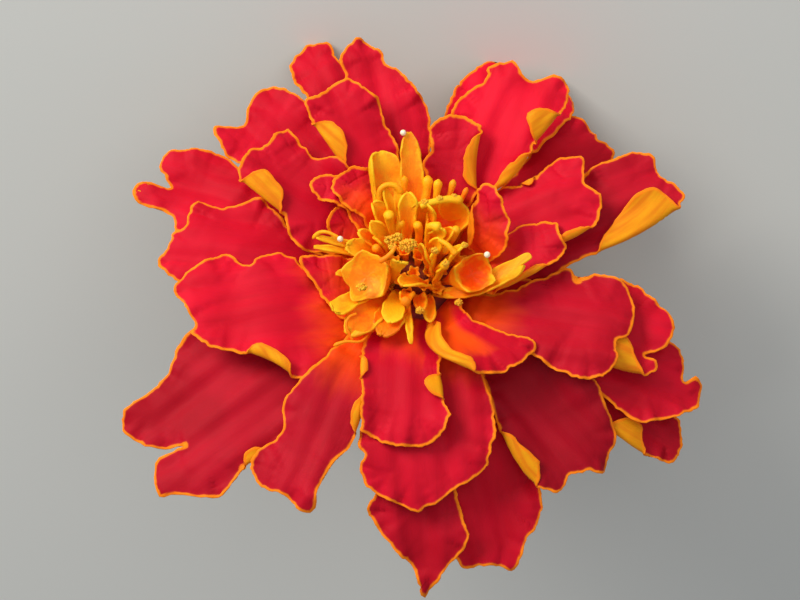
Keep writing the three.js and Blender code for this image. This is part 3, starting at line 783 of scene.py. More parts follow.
@dataclass(frozen=True)
class MarginRule:
    """The ragged line, the fine crinkle and the ruffle of every petal's margin, in mm.

    The straying swings by calm[1] about the share calm[0]. A fold presses part of the ruffle flat.
    """

    ragged: float = 0.14
    ragged_wave: float = 1.9
    calm: Point = (0.55, 0.45)
    calm_wave: float = 13.6
    crinkle: float = 0.05
    crinkle_wave: float = 0.8
    ruffle: float = 0.4
    ruffle_wave: float = 3.4
    ruffle_reach: float = 1.6
    pressed: float = 0.7


@dataclass(frozen=True)
class Swell:
    """The broad soft waves of every petal's face."""

    height: float = 0.16
    waves: int = 3
    shortest: float = 6.5
    longest: float = 11.0
    start: float = 4.0
    rise: float = 10.0
    phases: float = 6.3
    seed: int = 400


@dataclass(frozen=True)
class GridRule:
    """How every petal's grid is laid out, its rows being partly even and partly crowded to the sides."""

    side_points: int = 240
    rows: Point = (0.45, 0.55)
    tip_crowd: float = 1.35
    rounds: int = 160


SPINE = SpineRule()
RELIEF = Relief()
PLEAT = Pleats()
MARGIN = MarginRule()
SWELL = Swell()
GRID = GridRule()

# The half width of every petal's claw where it springs, in mm.
CLAW_HALF = 2.0

# Radius and height at which the petals of each tier spring, in mm, from the outermost tier to the innermost.
TIERS: tuple[Point, ...] = ((5.0, -0.5), (4.8, 0.4), (4.5, 1.5), (4.2, 2.6))


@dataclass
class Edge:
    """One side of a petal's flat outline.

    Attributes:
        line: Its points.
        round_it: How far round the outline each point is, in mm.
        whole: How far it is round the whole outline, in mm.
        hand: 1 where the outside is on the line's right, and -1 on its left.
    """

    line: Array
    round_it: Array
    whole: float
    hand: int

    def free(self) -> Array:
        """How free each point is: 0 at the claw, and 1 past CLAW_FREE."""
        return np.clip(np.minimum(self.round_it, self.whole - self.round_it) / CLAW_FREE, 0, 1)

    def outward(self) -> Array:
        """The direction out of the petal at each point."""
        along = unit(np.gradient(self.line, axis=0))
        return np.stack([along[:, 1], -along[:, 0]], 1) * self.hand

    def wave(self, line: MarginLine, index: int, wave: float) -> Array:
        """The height of a wavy line of petal number index at each point, for waves of that length in mm."""
        return wobble(self.round_it, line.seed(index), wave)

    def roughen(self, index: int) -> None:
        """Makes the line ragged and finely crinkled.

        Args:
            index: The petal's number, which seeds it.
        """
        middle, swing = MARGIN.calm
        calm = middle + swing * self.wave(MarginLine.CALM, index, MARGIN.calm_wave)
        move = MARGIN.ragged * calm * self.wave(MarginLine.RAGGED, index, MARGIN.ragged_wave)
        fine = MARGIN.crinkle * self.wave(MarginLine.CRINKLE, index, MARGIN.crinkle_wave)
        self.line += self.outward() * ((move + fine) * self.free())[:, None]

    def pick(self, at: Array) -> Array:
        """The points at shares of its length."""
        q = np.linspace(0, 1, len(self.line))
        return np.stack([np.interp(at, q, self.line[:, k]) for k in range(2)], -1)

    def nearest(self, flat: Array) -> tuple[Array, Array]:
        """The number of the nearest point of the line to each flat point, and the distance to it."""
        gaps = np.linalg.norm(flat[:, :, None] - self.line[None, None], axis=-1)
        return gaps.argmin(-1), gaps.min(-1)


def evened(flat: Array, s: Array, t: Array) -> Array:
    """A grid with the same sides, and with its inside drawn even so that no cell folds over another.

    Args:
        flat: The grid of flat points.
        s: The places of its rows.
        t: The places of its columns.

    Returns:
        The new grid.
    """
    p = flat.copy()
    hs, ht = np.diff(s)[:, None, None], np.diff(t)[None, :, None]
    s_low, s_high, t_low, t_high = hs[:-1], hs[1:], ht[:, :-1], ht[:, 1:]
    for _ in range(GRID.rounds):
        over_s = (p[2:, 1:-1] - p[:-2, 1:-1]) / (s_low + s_high)
        over_t = (p[1:-1, 2:] - p[1:-1, :-2]) / (t_low + t_high)
        pairs = ((over_t, over_t), (over_s, over_t), (over_s, over_s))
        a, b, g = ((x * y).sum(-1, keepdims=True) for x, y in pairs)
        skew = (p[2:, 2:] - p[2:, :-2] - p[:-2, 2:] + p[:-2, :-2]) / ((s_low + s_high) * (t_low + t_high))
        s_part = 2 * (p[2:, 1:-1] / s_high + p[:-2, 1:-1] / s_low) / (s_low + s_high)
        t_part = 2 * (p[1:-1, 2:] / t_high + p[1:-1, :-2] / t_low) / (t_low + t_high)
        s_all, t_all = 2 / (s_low * s_high), 2 / (t_low * t_high)
        p[1:-1, 1:-1] = (a * s_part + g * t_part - 2 * b * skew) / (a * s_all + g * t_all)
    return p


@dataclass(frozen=True)
class Petal:
    """One ray petal, in mm and degrees.

    Attributes:
        name: Its name.
        az: The direction it runs in.
        tier: Its layer, 0 outermost.
        rise: Its rise at the claw, middle and tip.
        length: The length that the rise is spread over.
        left: Its flat outline up the left side, as (across, along).
        tip: That round the tip.
        right: That up the right side.
        cup: How far its sides are raised, at 6 mm from the middle.
        fold: The slope of its sides from a fold along the middle.
        lift: How much higher than its tier it springs.
        out: How much further out it springs.
        base: The direction it springs in, if not az.
        painted_shading: How much lighter or darker its red is painted for the light and shadow that fall on
            it, 1 being plain: painted light and shading.
        flush: How much further than plain its flush reaches.
        band: How wide a band inside the margin the flush leaves red.
        curls: Its rolled margins.
    """

    name: str
    az: float
    tier: int
    rise: Triple
    length: float
    left: tuple[Point, ...]
    tip: tuple[Point, ...]
    right: tuple[Point, ...]
    cup: float = 0.0
    fold: float = 0.0
    lift: float = 0.0
    out: float = 0.0
    base: float | None = None
    painted_shading: float = 1.0
    flush: float = 0.0
    band: float = 0.0
    curls: tuple[Curl, ...] = ()

    def spine(self, v: Array) -> tuple[Array, Array, Array]:
        """The petal's middle line, which leaves the seat steeply, bends over and then runs out.

        Args:
            v: Distances along it, in mm.

        Returns:
            The points at v, the direction to the left, and the direction up from the face at v.
        """
        steps = np.arange(0, SPINE.reach, SPINE.step)
        claw, middle, tip = self.rise
        knots = (0, SPINE.bend, SPINE.middle, 1)
        rises = (claw, SPINE.early[0] * claw + SPINE.early[1] * middle, middle, tip)
        near = [np.interp(np.clip(steps / self.length + s, 0, 1), knots, rises) for s in SPINE.even]
        e, az = np.radians(np.mean(near, axis=0)), math.radians(self.az)
        along = np.stack([np.cos(e) * math.cos(az), np.cos(e) * math.sin(az), np.sin(e)], 1)
        radius, height = TIERS[self.tier]
        root = math.radians(self.az if self.base is None else self.base)
        start = np.array([0.0, 0.0, height + self.lift])
        start[:2] = (radius + self.out) * math.cos(root), (radius + self.out) * math.sin(root)
        line = start + np.vstack([np.zeros(3), np.cumsum(along[:-1] * SPINE.step, axis=0)])
        left = np.array([-math.sin(az), math.cos(az), 0])
        up = np.cross(along, left)
        at = [np.stack([np.interp(v, steps, a[:, k]) for k in range(3)], -1) for a in (line, up)]
        return at[0], left, at[1]

    def face_height(self, index: int, u: Array, v: Array) -> Array:
        """How far the face stands above its flat outline: its cup, its middle fold and its pleats.

        Args:
            index: The petal's number, which moves its pleats.
            u: How far each point is across, in mm.
            v: How far each point is along, in mm.

        Returns:
            The heights, in mm.
        """
        near, grow = np.clip(v / RELIEF.start, 0, 1), np.clip(v / PLEAT.start, 0, 1)
        cup = self.cup * (u / RELIEF.half) ** 2 * near
        fold = self.fold * np.sqrt(u * u + RELIEF.crease) * near
        wave = 2 * np.pi * u / PLEAT.width
        broad = np.cos(wave + PLEAT.turn[0] * index + PLEAT.drift[0] * v)
        fine = np.cos(2 * wave + PLEAT.turn[1] * index + PLEAT.drift[1] * v)
        return cup + fold + PLEAT.depth * grow * (broad + PLEAT.fine * fine)

    def sides(self, index: int) -> dict[Side, Edge]:
        """The flat outline with its ragged margin and with room for its curls.

        Args:
            index: The petal's number, which seeds its margin.

        Returns:
            Each side's line.
        """
        left = smooth_curve(((CLAW_HALF, 0), *self.left), GRID.side_points)
        right = smooth_curve(((-CLAW_HALF, 0), *self.right), GRID.side_points)
        tip = smooth_curve((self.left[-1], *self.tip, self.right[-1]), GRID.side_points)
        a, b, c = arc(left), arc(tip), arc(right)
        whole = a[-1] + b[-1] + c[-1]
        edges = {
            Side.LEFT: Edge(left, a, whole, 1),
            Side.TIP: Edge(tip, a[-1] + b, whole, 1),
            Side.RIGHT: Edge(right, whole - c, whole, -1),
        }
        for curl in self.curls:
            edge = edges[curl.side]
            ends = (curl.start, curl.end)
            first, last = (int(np.linalg.norm(edge.line - end, axis=1).argmin()) for end in ends)
            if last > first + LEAST_SPAN:
                edge.line[first : last + 1] = curl.unfolded(edge.hand, last + 1 - first)
        for edge in edges.values():
            edge.roughen(index)
        edges[Side.TIP].line[0] = edges[Side.LEFT].line[-1]
        edges[Side.TIP].line[-1] = edges[Side.RIGHT].line[-1]
        return edges

    def laid_flat(self, edges: dict[Side, Edge], s: Array, t: Array) -> Array:
        """The grid laid flat, filled in from its sides and evened out so that it never folds.

        Args:
            edges: The petal's sides.
            s: The places of its rows across, from 0 to 1.
            t: The places of its columns along, from 0 to 1.

        Returns:
            The flat points.
        """
        left, right = edges[Side.LEFT].pick(t), edges[Side.RIGHT].pick(t)
        tip, s2, t2 = edges[Side.TIP].pick(s)[:, None], s[:, None, None], t[None, :, None]
        end = left[-1] * (1 - s2) + right[-1] * s2
        flat = (1 - s2) * left[None] + s2 * right[None] + t2 * (tip - end)
        return evened(flat, s, t)

    def surface(self, index: int, across: int, along: int) -> tuple[Array, Array, Array]:
        """The petal's middle surface.

        Args:
            index: The petal's number in the table.
            across: Points from its left side to its right.
            along: Points from its claw to its tip.

        Returns:
            The grid of points in the bloom's frame, the distance of each from the margin, and each laid flat.
        """
        edges = self.sides(index)
        x = np.linspace(0, 1, across)
        s = GRID.rows[0] * x + GRID.rows[1] * (0.5 - 0.5 * np.cos(np.pi * x))
        t = 1 - (1 - np.linspace(0, 1, along)) ** GRID.tip_crowd
        flat = self.laid_flat(edges, s, t)
        near = {side: edge.nearest(flat) for side, edge in edges.items()}
        ruffle, weight = np.zeros(flat.shape[:2]), np.zeros(flat.shape[:2])
        for side, (at, gap) in near.items():
            edge = edges[side]
            wave = edge.free() * edge.wave(MarginLine.RUFFLE, index, MARGIN.ruffle_wave)
            share = np.exp(-gap / MARGIN.ruffle_reach)
            ruffle += share * wave[at]
            weight += share
        z = MARGIN.ruffle * ruffle / np.maximum(1, weight)
        placed = flat
        for curl in self.curls:
            placed, lift, over = curl.fold(placed, edges[curl.side].hand)
            z = z * (1 - MARGIN.pressed * over) + lift
        u, v = placed[..., 0], placed[..., 1]
        z = z + self.face_height(index, u, v) + self.swell(index, u, v)
        line, side_way, up = self.spine(np.maximum(v, 0))
        margin = np.minimum.reduce([gap for _, gap in near.values()])
        return line + u[..., None] * side_way + z[..., None] * up, margin, flat

    def swell(self, index: int, u: Array, v: Array) -> Array:
        """The broad soft waves of the face.

        Args:
            index: The petal's number, which seeds them.
            u: How far each point is across, in mm.
            v: How far each point is along, in mm.

        Returns:
            Their heights, in mm.
        """
        rng = np.random.default_rng(SWELL.seed + index)
        total = np.zeros_like(u)
        for _ in range(SWELL.waves):
            angle, pitch = np.pi * rng.random(), 2 * np.pi / rng.uniform(SWELL.shortest, SWELL.longest)
            along = u * math.cos(angle) + v * math.sin(angle)
            total += np.sin(pitch * along + SWELL.phases * rng.random())
        return SWELL.height * np.clip((v - SWELL.start) / SWELL.rise, 0, 1) * total


# The petals, in the order in which they are laid, with the directions, rises and outlines of the solids, but
# for one side of right_scoop. A helper program worked the figures out from given points, and some were
# corrected afterwards. This is an open fault.
# Each petal's shade value is painted light and shading: its red is drawn lighter for a petal in the light and
# darker for one in shadow.
PETALS: tuple[Petal, ...] = (
    Petal("right_low", -33, 0, (40, -12, -26), 28, lift=-0.2, painted_shading=0.8,
          left=((1.5, 12), (2.5, 18.5), (3.5, 23), (3.5, 25.5)),
          tip=((2, 26.5), (0.5, 27.2), (-0.5, 27), (-1, 26)),
          right=((-2.5, 12), (-2.5, 17), (-1.8, 19.5), (-1.7, 22.5), (-1.4, 24.7)),
          curls=(Curl(Side.RIGHT, (-1.9, 19), (-1.5, 24.4), ((-0.3, 20.2), (0.4, 21.9), (-0.8, 23)), 0.1),)),
    Petal("right_outer", -20, 0, (45, -5, -20), 29, painted_shading=0.95,
          left=((-0.5, 11.5), (1.5, 17), (2.5, 21), (2.5, 23)),
          tip=((0.8, 24), (-0.4, 24.6), (0.5, 25.5), (0, 26.5), (-1.5, 26.7), (-2.5, 26.5)),
          right=((-4.5, 12.5), (-5, 17), (-6, 20), (-6, 22), (-4, 25))),
    Petal("front_side", -73, 0, (40, -18, -32), 28, lift=-0.2,
          left=((2.5, 6.5), (4.5, 12.5), (5.5, 16.5), (6, 19), (5.5, 21)),
          tip=((4.5, 22.5), (3.5, 23), (2.5, 24.5), (1.2, 26), (0, 25), (-1.5, 24.5), (-3, 24.5)),
          right=((-0.5, 6), (-2.5, 12.5), (-4, 19), (-4, 23))),
    Petal("front_low", -88, 0, (45, -18, -34), 29, fold=0.35, painted_shading=0.84,
          left=((2, 8.5), (3, 15), (4, 19.5), (4.5, 21)),
          tip=((4, 22.5), (2.5, 24), (1, 26), (0, 27.2), (-0.5, 25.5), (-1, 24), (-2, 23)),
          right=((-1.5, 8), (-3, 14.5), (-5, 18), (-5, 18.7), (-4, 20.5))),
    Petal("right_back_low", 36, 0, (48, 2, -6), 24,
          left=((2.5, 9), (4.5, 15), (5.5, 18.5)),
          tip=((4.4, 20), (2.5, 20.5), (1, 20), (0, 20.5), (-1, 20.5)),
          right=((-1.5, 7), (-1.5, 12), (-1.5, 16.5), (-1.5, 20))),
    Petal("right_back", 21, 1, (52, 10, 2), 27, painted_shading=0.77,
          left=((-0.5, 10), (1.5, 14), (3, 17), (3, 20)),
          tip=((3, 21.5), (2, 23), (0.5, 23), (-0.5, 23), (-2, 24), (-3.2, 24.2)),
          right=((-5.5, 7), (-5.5, 10), (-5.1, 13.8), (-5.3, 17), (-4.9, 20), (-3.8, 23.6)),
          curls=(Curl(Side.RIGHT, (-5.2, 13.6), (-3.9, 23.5),
                      ((-3.9, 15.8), (-2.6, 17.8), (-1.6, 20), (-1.9, 21.8)), 0.5),)),
    Petal("back_low_right", 67, 0, (47, 0, -11), 23, lift=0.3, painted_shading=1.35,
          left=((2.5, 6.5), (3.5, 12), (4, 14.5), (4, 18)),
          tip=((3, 20.5), (2, 22), (0.5, 22.5), (-1.5, 21.5), (-3.5, 21.5), (-5, 23), (-6.5, 21.5)),
          right=((-4, 9), (-6.5, 13.5), (-8, 17.5), (-8, 19.5))),
    Petal("back_low_left", 111, 0, (46, 2, -7), 24,
          left=((1, 5.5), (2, 14), (3, 19), (3.5, 21)),
          tip=((3, 23), (1.5, 24), (0.5, 24.5), (-0.5, 24), (-1.5, 23.5)),
          right=((-2, 5.5), (-1.7, 13.5), (-2, 19), (-1.5, 22))),
    Petal("left_back_low", 157, 0, (48, 4, -8), 26,
          left=((3.5, 3), (4, 12), (5, 17), (5, 19.5)),
          tip=((3.5, 20.7), (3.6, 24), (2.8, 25.2), (1.5, 25), (0.9, 22.2), (0, 23), (-1, 24), (-2.5, 24)),
          right=((-2, 5.5), (-2.5, 11.5), (-3.5, 16), (-4.5, 18.5), (-4, 21.5))),
    Petal("front_right", -50, 1, (50, -10, -25), 24, painted_shading=0.62,
          left=((3, 5.5), (6, 11.5), (6.5, 15.5), (5.8, 18.5)),
          tip=((5, 21), (3.5, 22), (2, 23), (0.5, 21.7), (-1, 21), (-2, 21.5), (-3, 21.5)),
          right=((-0.5, 5.5), (-2, 9.5), (-3.6, 13.2), (-4.3, 17.2), (-4, 20.4)),
          curls=(Curl(Side.RIGHT, (-3.6, 13.2), (-4.05, 20.2),
                      ((-3.3, 14.6), (-3.1, 16.4), (-2.7, 17.8), (-3.3, 18.9)), 0.45),)),
    Petal("right_middle", -11, 1, (55, 0, -14), 26,
          left=((1, 11), (2.5, 15), (3, 17), (3, 18.5)),
          tip=((1.8, 20.2), (0.5, 22), (-1, 22.6), (-3, 22), (-4, 20.3), (-4.5, 21.2), (-5.4, 21.6)),
          right=((-4.5, 12), (-6, 15.5), (-6.3, 18.5), (-6, 20.8)),
          curls=(Curl(Side.RIGHT, (-5.8, 14.6), (-6.05, 20.8),
                      ((-3.9, 15.8), (-3.1, 18), (-4.9, 19.2)), 0.2),)),
    Petal("back_tall", 100, 1, (60, 16, 6), 24,
          left=((1.5, 5), (2.5, 12.5), (3, 17.5), (3.5, 20)),
          tip=((2.2, 21.5), (1, 22), (0, 21), (-1, 20), (-1, 19)),
          right=((-3, 4.5), (-4, 9.5), (-4.5, 12.5), (-4, 15), (-2.3, 18))),
    Petal("left_back", 133, 1, (55, 12, 0), 22,
          left=((2.5, 4), (4, 12), (5, 16), (5.5, 18)),
          tip=((5, 20), (4.3, 21), (2, 19.5), (0.5, 20.5), (-1, 21), (-2.5, 21), (-3.5, 19.5)),
          right=((-2.5, 4), (-4, 10.5), (-4, 14.5), (-4, 18))),
    Petal("left_outer", 174, 1, (55, 4, -8), 25,
          left=((3, 4), (5, 12), (4.5, 17), (3.5, 19.5)),
          tip=((2.5, 21), (1.5, 21.5), (0, 20.5), (-1.2, 20.3), (-2, 19.2), (-4, 19.2)),
          right=((-1, 4.5), (-2.5, 8), (-5, 11), (-6, 12.5), (-4.7, 15.5), (-5, 18.5))),
    Petal("left_low", -147, 1, (50, -8, -16), 28, painted_shading=0.72, flush=2,
          left=((3, 2.5), (6.5, 10), (7.5, 16), (7.4, 20.4)),
          tip=((8.2, 22.2), (8.3, 24.2), (5.6, 27.4), (5.3, 28.6), (3.4, 28.2), (1.8, 27),
               (2.4, 23.8), (1, 26.3), (-1.5, 28), (-3, 28)),
          right=((0, 4.5), (-4, 9), (-6.5, 15.5), (-6.5, 19), (-4.5, 22), (-4, 27)),
          curls=(Curl(Side.LEFT, (7.5, 17), (7.4, 20.3), ((6.8, 18.2), (6.6, 19.5)), 0.05),)),
    Petal("front_wide", -87, 2, (65, -8, -30), 23, painted_shading=0.98, flush=2,
          left=((2.5, 1.5), (4.5, 5.5), (6, 8), (7, 13), (6, 17)),
          tip=((5, 18), (3, 19), (1.5, 20), (0, 20.7), (-1, 21), (-4, 19.5)),
          right=((-3, 6), (-4.5, 10), (-6, 14), (-5.5, 15.5), (-6, 16.5), (-5.5, 18.5))),
    Petal("left_wide", -171, 2, (65, 6, -10), 23, painted_shading=1.1, flush=1.5,
          left=((7, 5), (10, 8.5), (9.5, 10.5), (7.5, 13), (6.5, 15.5), (5.5, 18)),
          tip=((4, 19.3), (3, 19), (1, 19.7), (-0.5, 20.5), (-1.5, 20), (-3, 18)),
          right=((3, 4), (0.5, 6), (-1.5, 8), (-3, 9.5), (-3, 12), (-2, 13), (-4, 15)),
          curls=(Curl(Side.LEFT, (9.6, 10.4), (6.7, 14.6), ((8.6, 10.6), (7, 12), (6.3, 13.6)), -0.3),)),
    Petal("front_left", -114, 2, (60, -4, -22), 24, lift=0.6, painted_shading=0.76, flush=4.6,
          left=((1, 5.5), (1.5, 9), (1.5, 12.5), (2.1, 15.5), (1.1, 18)),
          tip=((0.9, 20.5), (1.3, 22.6), (0.2, 23.3), (-2, 22.5), (-4, 22.8)),
          right=((-2.2, 4), (-3.2, 7.4), (-4, 10), (-5.5, 14.5), (-4.5, 17), (-6, 20), (-6, 21.6)),
          curls=(Curl(Side.LEFT, (1.45, 10.5), (2, 15), ((0.9, 12), (1.2, 13.8)), 0),)),
    Petal("right_wide", -14, 2, (65, 4, -10), 22, painted_shading=0.82, flush=1.5,
          left=((-0.5, 2.5), (0, 7), (3, 11.5), (2.2, 13.2)),
          tip=((3.3, 15), (3, 17.5), (1, 19), (-2, 19.1), (-3, 18), (-5, 18.5)),
          right=((-4, 4.5), (-5, 8), (-6.5, 11), (-7.5, 15), (-6.8, 17.5))),
    Petal("right_back_upper", 16, 2, (72, 20, 2), 19,
          left=((4.4, 5.5), (5.1, 8.2), (4.9, 9.7), (4.3, 11.2), (4.8, 12.2), (5.3, 12.8)),
          tip=((6, 15), (5, 17), (2.5, 16.4), (1, 17.5), (-0.5, 17)),
          right=((-2, 6), (-2.5, 9), (-2.5, 13.5), (-1.8, 16.2)),
          curls=(Curl(Side.LEFT, (4.6, 10.5), (4.75, 12.1), ((4.25, 11), (4.2, 11.7)), 0),
                 Curl(Side.RIGHT, (-2.5, 10.6), (-1.8, 16), ((-2.1, 12.2), (-1.8, 14.2)), 0.25))),
    Petal("back_wide", 62, 2, (72, 24, 8), 22, painted_shading=1.2,
          left=((1, 5.5), (2, 10.5), (3.5, 14), (3.5, 15.5)),
          tip=((2, 18.5), (2.4, 19.5), (0.5, 21), (-1.8, 20), (-4, 21.5), (-5.7, 21)),
          right=((-2.9, 7.5), (-4.4, 10.2), (-5.3, 12.6), (-5.2, 14.3), (-5.4, 16), (-6.1, 18.3), (-6.3, 19)),
          curls=(Curl(Side.RIGHT, (-5.2, 14.4), (-6.1, 18.3), ((-4.1, 15.6), (-3.6, 16.8), (-4.9, 17.9)), 0),
                 Curl(Side.RIGHT, (-2.9, 7.6), (-5.25, 14), ((-3.7, 10.3), (-4.4, 12.4)), 0.6))),
    Petal("back_upper_left", 112, 2, (72, 26, 10), 20, painted_shading=1.04, flush=1.5,
          left=((1.3, 5), (2.5, 9.8), (3.2, 12.5), (3.9, 15.1), (4, 15.8)),
          tip=((3.8, 17.5), (2.5, 17.5), (0.5, 18), (-1, 18)),
          right=((-1.5, 5), (-3, 9.5), (-2.7, 13.3), (-3, 15), (-2, 16.5)),
          curls=(Curl(Side.LEFT, (2.5, 9.6), (3.9, 15.2), ((1.8, 11.6), (1.6, 13.4), (2.6, 14.7)), 0),)),
    Petal("left_back_upper", 147, 2, (72, 20, 4), 19,
          left=((2.5, 4), (4.5, 7.5), (4.2, 9.6), (2.8, 11.3), (2.5, 14.5), (2.5, 16.6)),
          tip=((1.8, 17.3), (0.5, 17.5), (-0.5, 17.5), (-2, 16.5), (-3.5, 16.5)),
          right=((-3, 4), (-4.5, 9), (-3.7, 12), (-4.8, 15.8)),
          curls=(Curl(Side.LEFT, (2.9, 11.2), (2.5, 16.6), ((1.6, 12.3), (0.9, 13.7), (0.7, 15.2)), 0),)),
    Petal("front_inner", -93, 3, (76, 8, -26), 17, flush=0.9, band=0.9,
          left=((2, 4.6), (3.1, 7), (3.1, 9.2), (3.6, 11.8), (4.4, 13.1)),
          tip=((3.4, 15.1), (1.7, 16.2), (-1.9, 16)),
          right=((-4, 5.5), (-4.3, 8), (-4.1, 11), (-4, 14.9)),
          curls=(Curl(Side.LEFT, (3.1, 9.1), (3.6, 11.9), ((1.7, 10.1), (2.5, 11.3)), 0),
                 Curl(Side.RIGHT, (-4.3, 7.8), (-4.2, 10.2),
                      ((-3.75, 8.4), (-3.6, 9.3)), 0, turn=190, radius=0.28))),
    Petal("right_scoop", -39, 3, (78, 14, -8), 12, lift=0.5, cup=2.5, painted_shading=1.05, flush=4.0, band=1.3,
          left=((-0.7, 4.6), (-0.6, 7), (-0.1, 9.3)), tip=((0.8, 11), (0.4, 12.2)),
          right=((-3.4, 2.4), (-5.6, 4.2), (-6.8, 6.8), (-6.3, 8.8), (-5.4, 10.1), (-3.8, 11.2), (-2, 11.9)),
          curls=(Curl(Side.RIGHT, (-3.5, 2.5), (-5.5, 10),
                      ((-3.3, 4.2), (-4.6, 5.6), (-5.4, 7.5), (-4.9, 9)), 1.9, turn=150),)),
    Petal("right_inner", 7, 3, (80, 25, 5), 13, painted_shading=0.98, flush=1,
          left=((0, 5.5), (1, 7), (2, 9), (2, 11.5)), tip=((1.5, 12.5), (0.5, 12.5), (-1, 13)),
          right=((-4, 5.5), (-4, 7), (-3.5, 9.5), (-2.2, 12)),
          curls=(Curl(Side.RIGHT, (-4, 5), (-2.4, 11.6), ((-3.6, 6.6), (-3.1, 8.6), (-2.6, 10)), 0.3),)),
    Petal("right_sliver", 56, 3, (88, 52, 20), 14, base=14, lift=1.2, painted_shading=1.05, flush=1.5,
          left=((-1.5, 2.5), (-0.5, 6), (0.5, 9)), tip=((0.6, 10.4), (-0.4, 11)),
          right=((-3.2, 3), (-4.3, 6), (-3.7, 8.3), (-1.7, 10.4)),
          curls=(Curl(Side.LEFT, (-1.3, 3.6), (0.4, 8.8), ((-1.2, 5.6), (-0.6, 7.2)), 0.1),)),
    Petal("back_inner", 72, 3, (80, 38, 18), 13,
          left=((1, 6), (2, 8.5), (1.6, 10), (2.4, 12)), tip=((1.7, 13.2), (0, 14), (-1, 14)),
          right=((-2.5, 3.5), (-4, 7.5), (-3, 10), (-2.5, 13.5)),
          curls=(Curl(Side.RIGHT, (-3.9, 7.2), (-2.6, 13.3),
                      ((-2.5, 8.3), (-1.9, 9.5), (-1.8, 10.8), (-2.1, 12.2)), -0.4),)),
    Petal("left_petal_low", 152, 3, (80, 40, 30), 8, lift=0.6,
          left=((1, 3.5), (1.6, 5), (1.5, 6.5)), tip=((0.8, 7.2), (-0.5, 7.5)),
          right=((-3.2, 3), (-3.5, 5), (-2, 6.8))),
    Petal("left_petal_outer", 144, 3, (80, 38, 12), 10, lift=0.6, out=0.3,
          left=((0, 5), (0, 7), (0.6, 9)), tip=((0.2, 10.2), (-0.6, 10.6)),
          right=((-2.5, 6), (-2.5, 8.5), (-1.8, 10))),
    Petal("left_petal_upper", 126, 3, (80, 45, 35), 9, flush=1.2,
          left=((1.4, 4), (2.4, 7), (2.4, 9)), tip=((1.3, 9.8), (-0.6, 9.8)),
          right=((-2.2, 4), (-2.2, 7), (-1.8, 9))),
    Petal("left_inner", 179, 3, (80, 18, 0), 12,
          left=((5, 2.5), (5.5, 4), (4.5, 5.5), (3, 6.5)), tip=((1.7, 7.5), (0.5, 8.5), (-0.4, 8.5)),
          right=((-1, 2), (-1, 4.5), (-0.8, 6.5))),
)


# How wide the bell is that spread evens with, as a share of its reach.
SPREAD_WIDTH = 0.75


def spread(a: Array, reach: int) -> Array:
    """The greatest value near each place of a grid, then evened out.

    Args:
        a: The grid.
        reach: How many places to each side count as near.

    Returns:
        A grid of the same shape.
    """
    wide = np.pad(a, reach, mode="edge")
    size = 2 * reach + 1
    most = np.lib.stride_tricks.sliding_window_view(wide, (size, size)).max((2, 3))
    bell = np.exp(-0.5 * (np.arange(-2 * reach, 2 * reach + 1) / (SPREAD_WIDTH * reach)) ** 2)
    bell /= bell.sum()
    for axis in (0, 1):
        pad = [(0, 0), (0, 0)]
        pad[axis] = (2 * reach, 2 * reach)
        padded = np.pad(most, pad, mode="edge")
        most = np.apply_along_axis(np.convolve, axis, padded, bell, mode="valid")
    return most


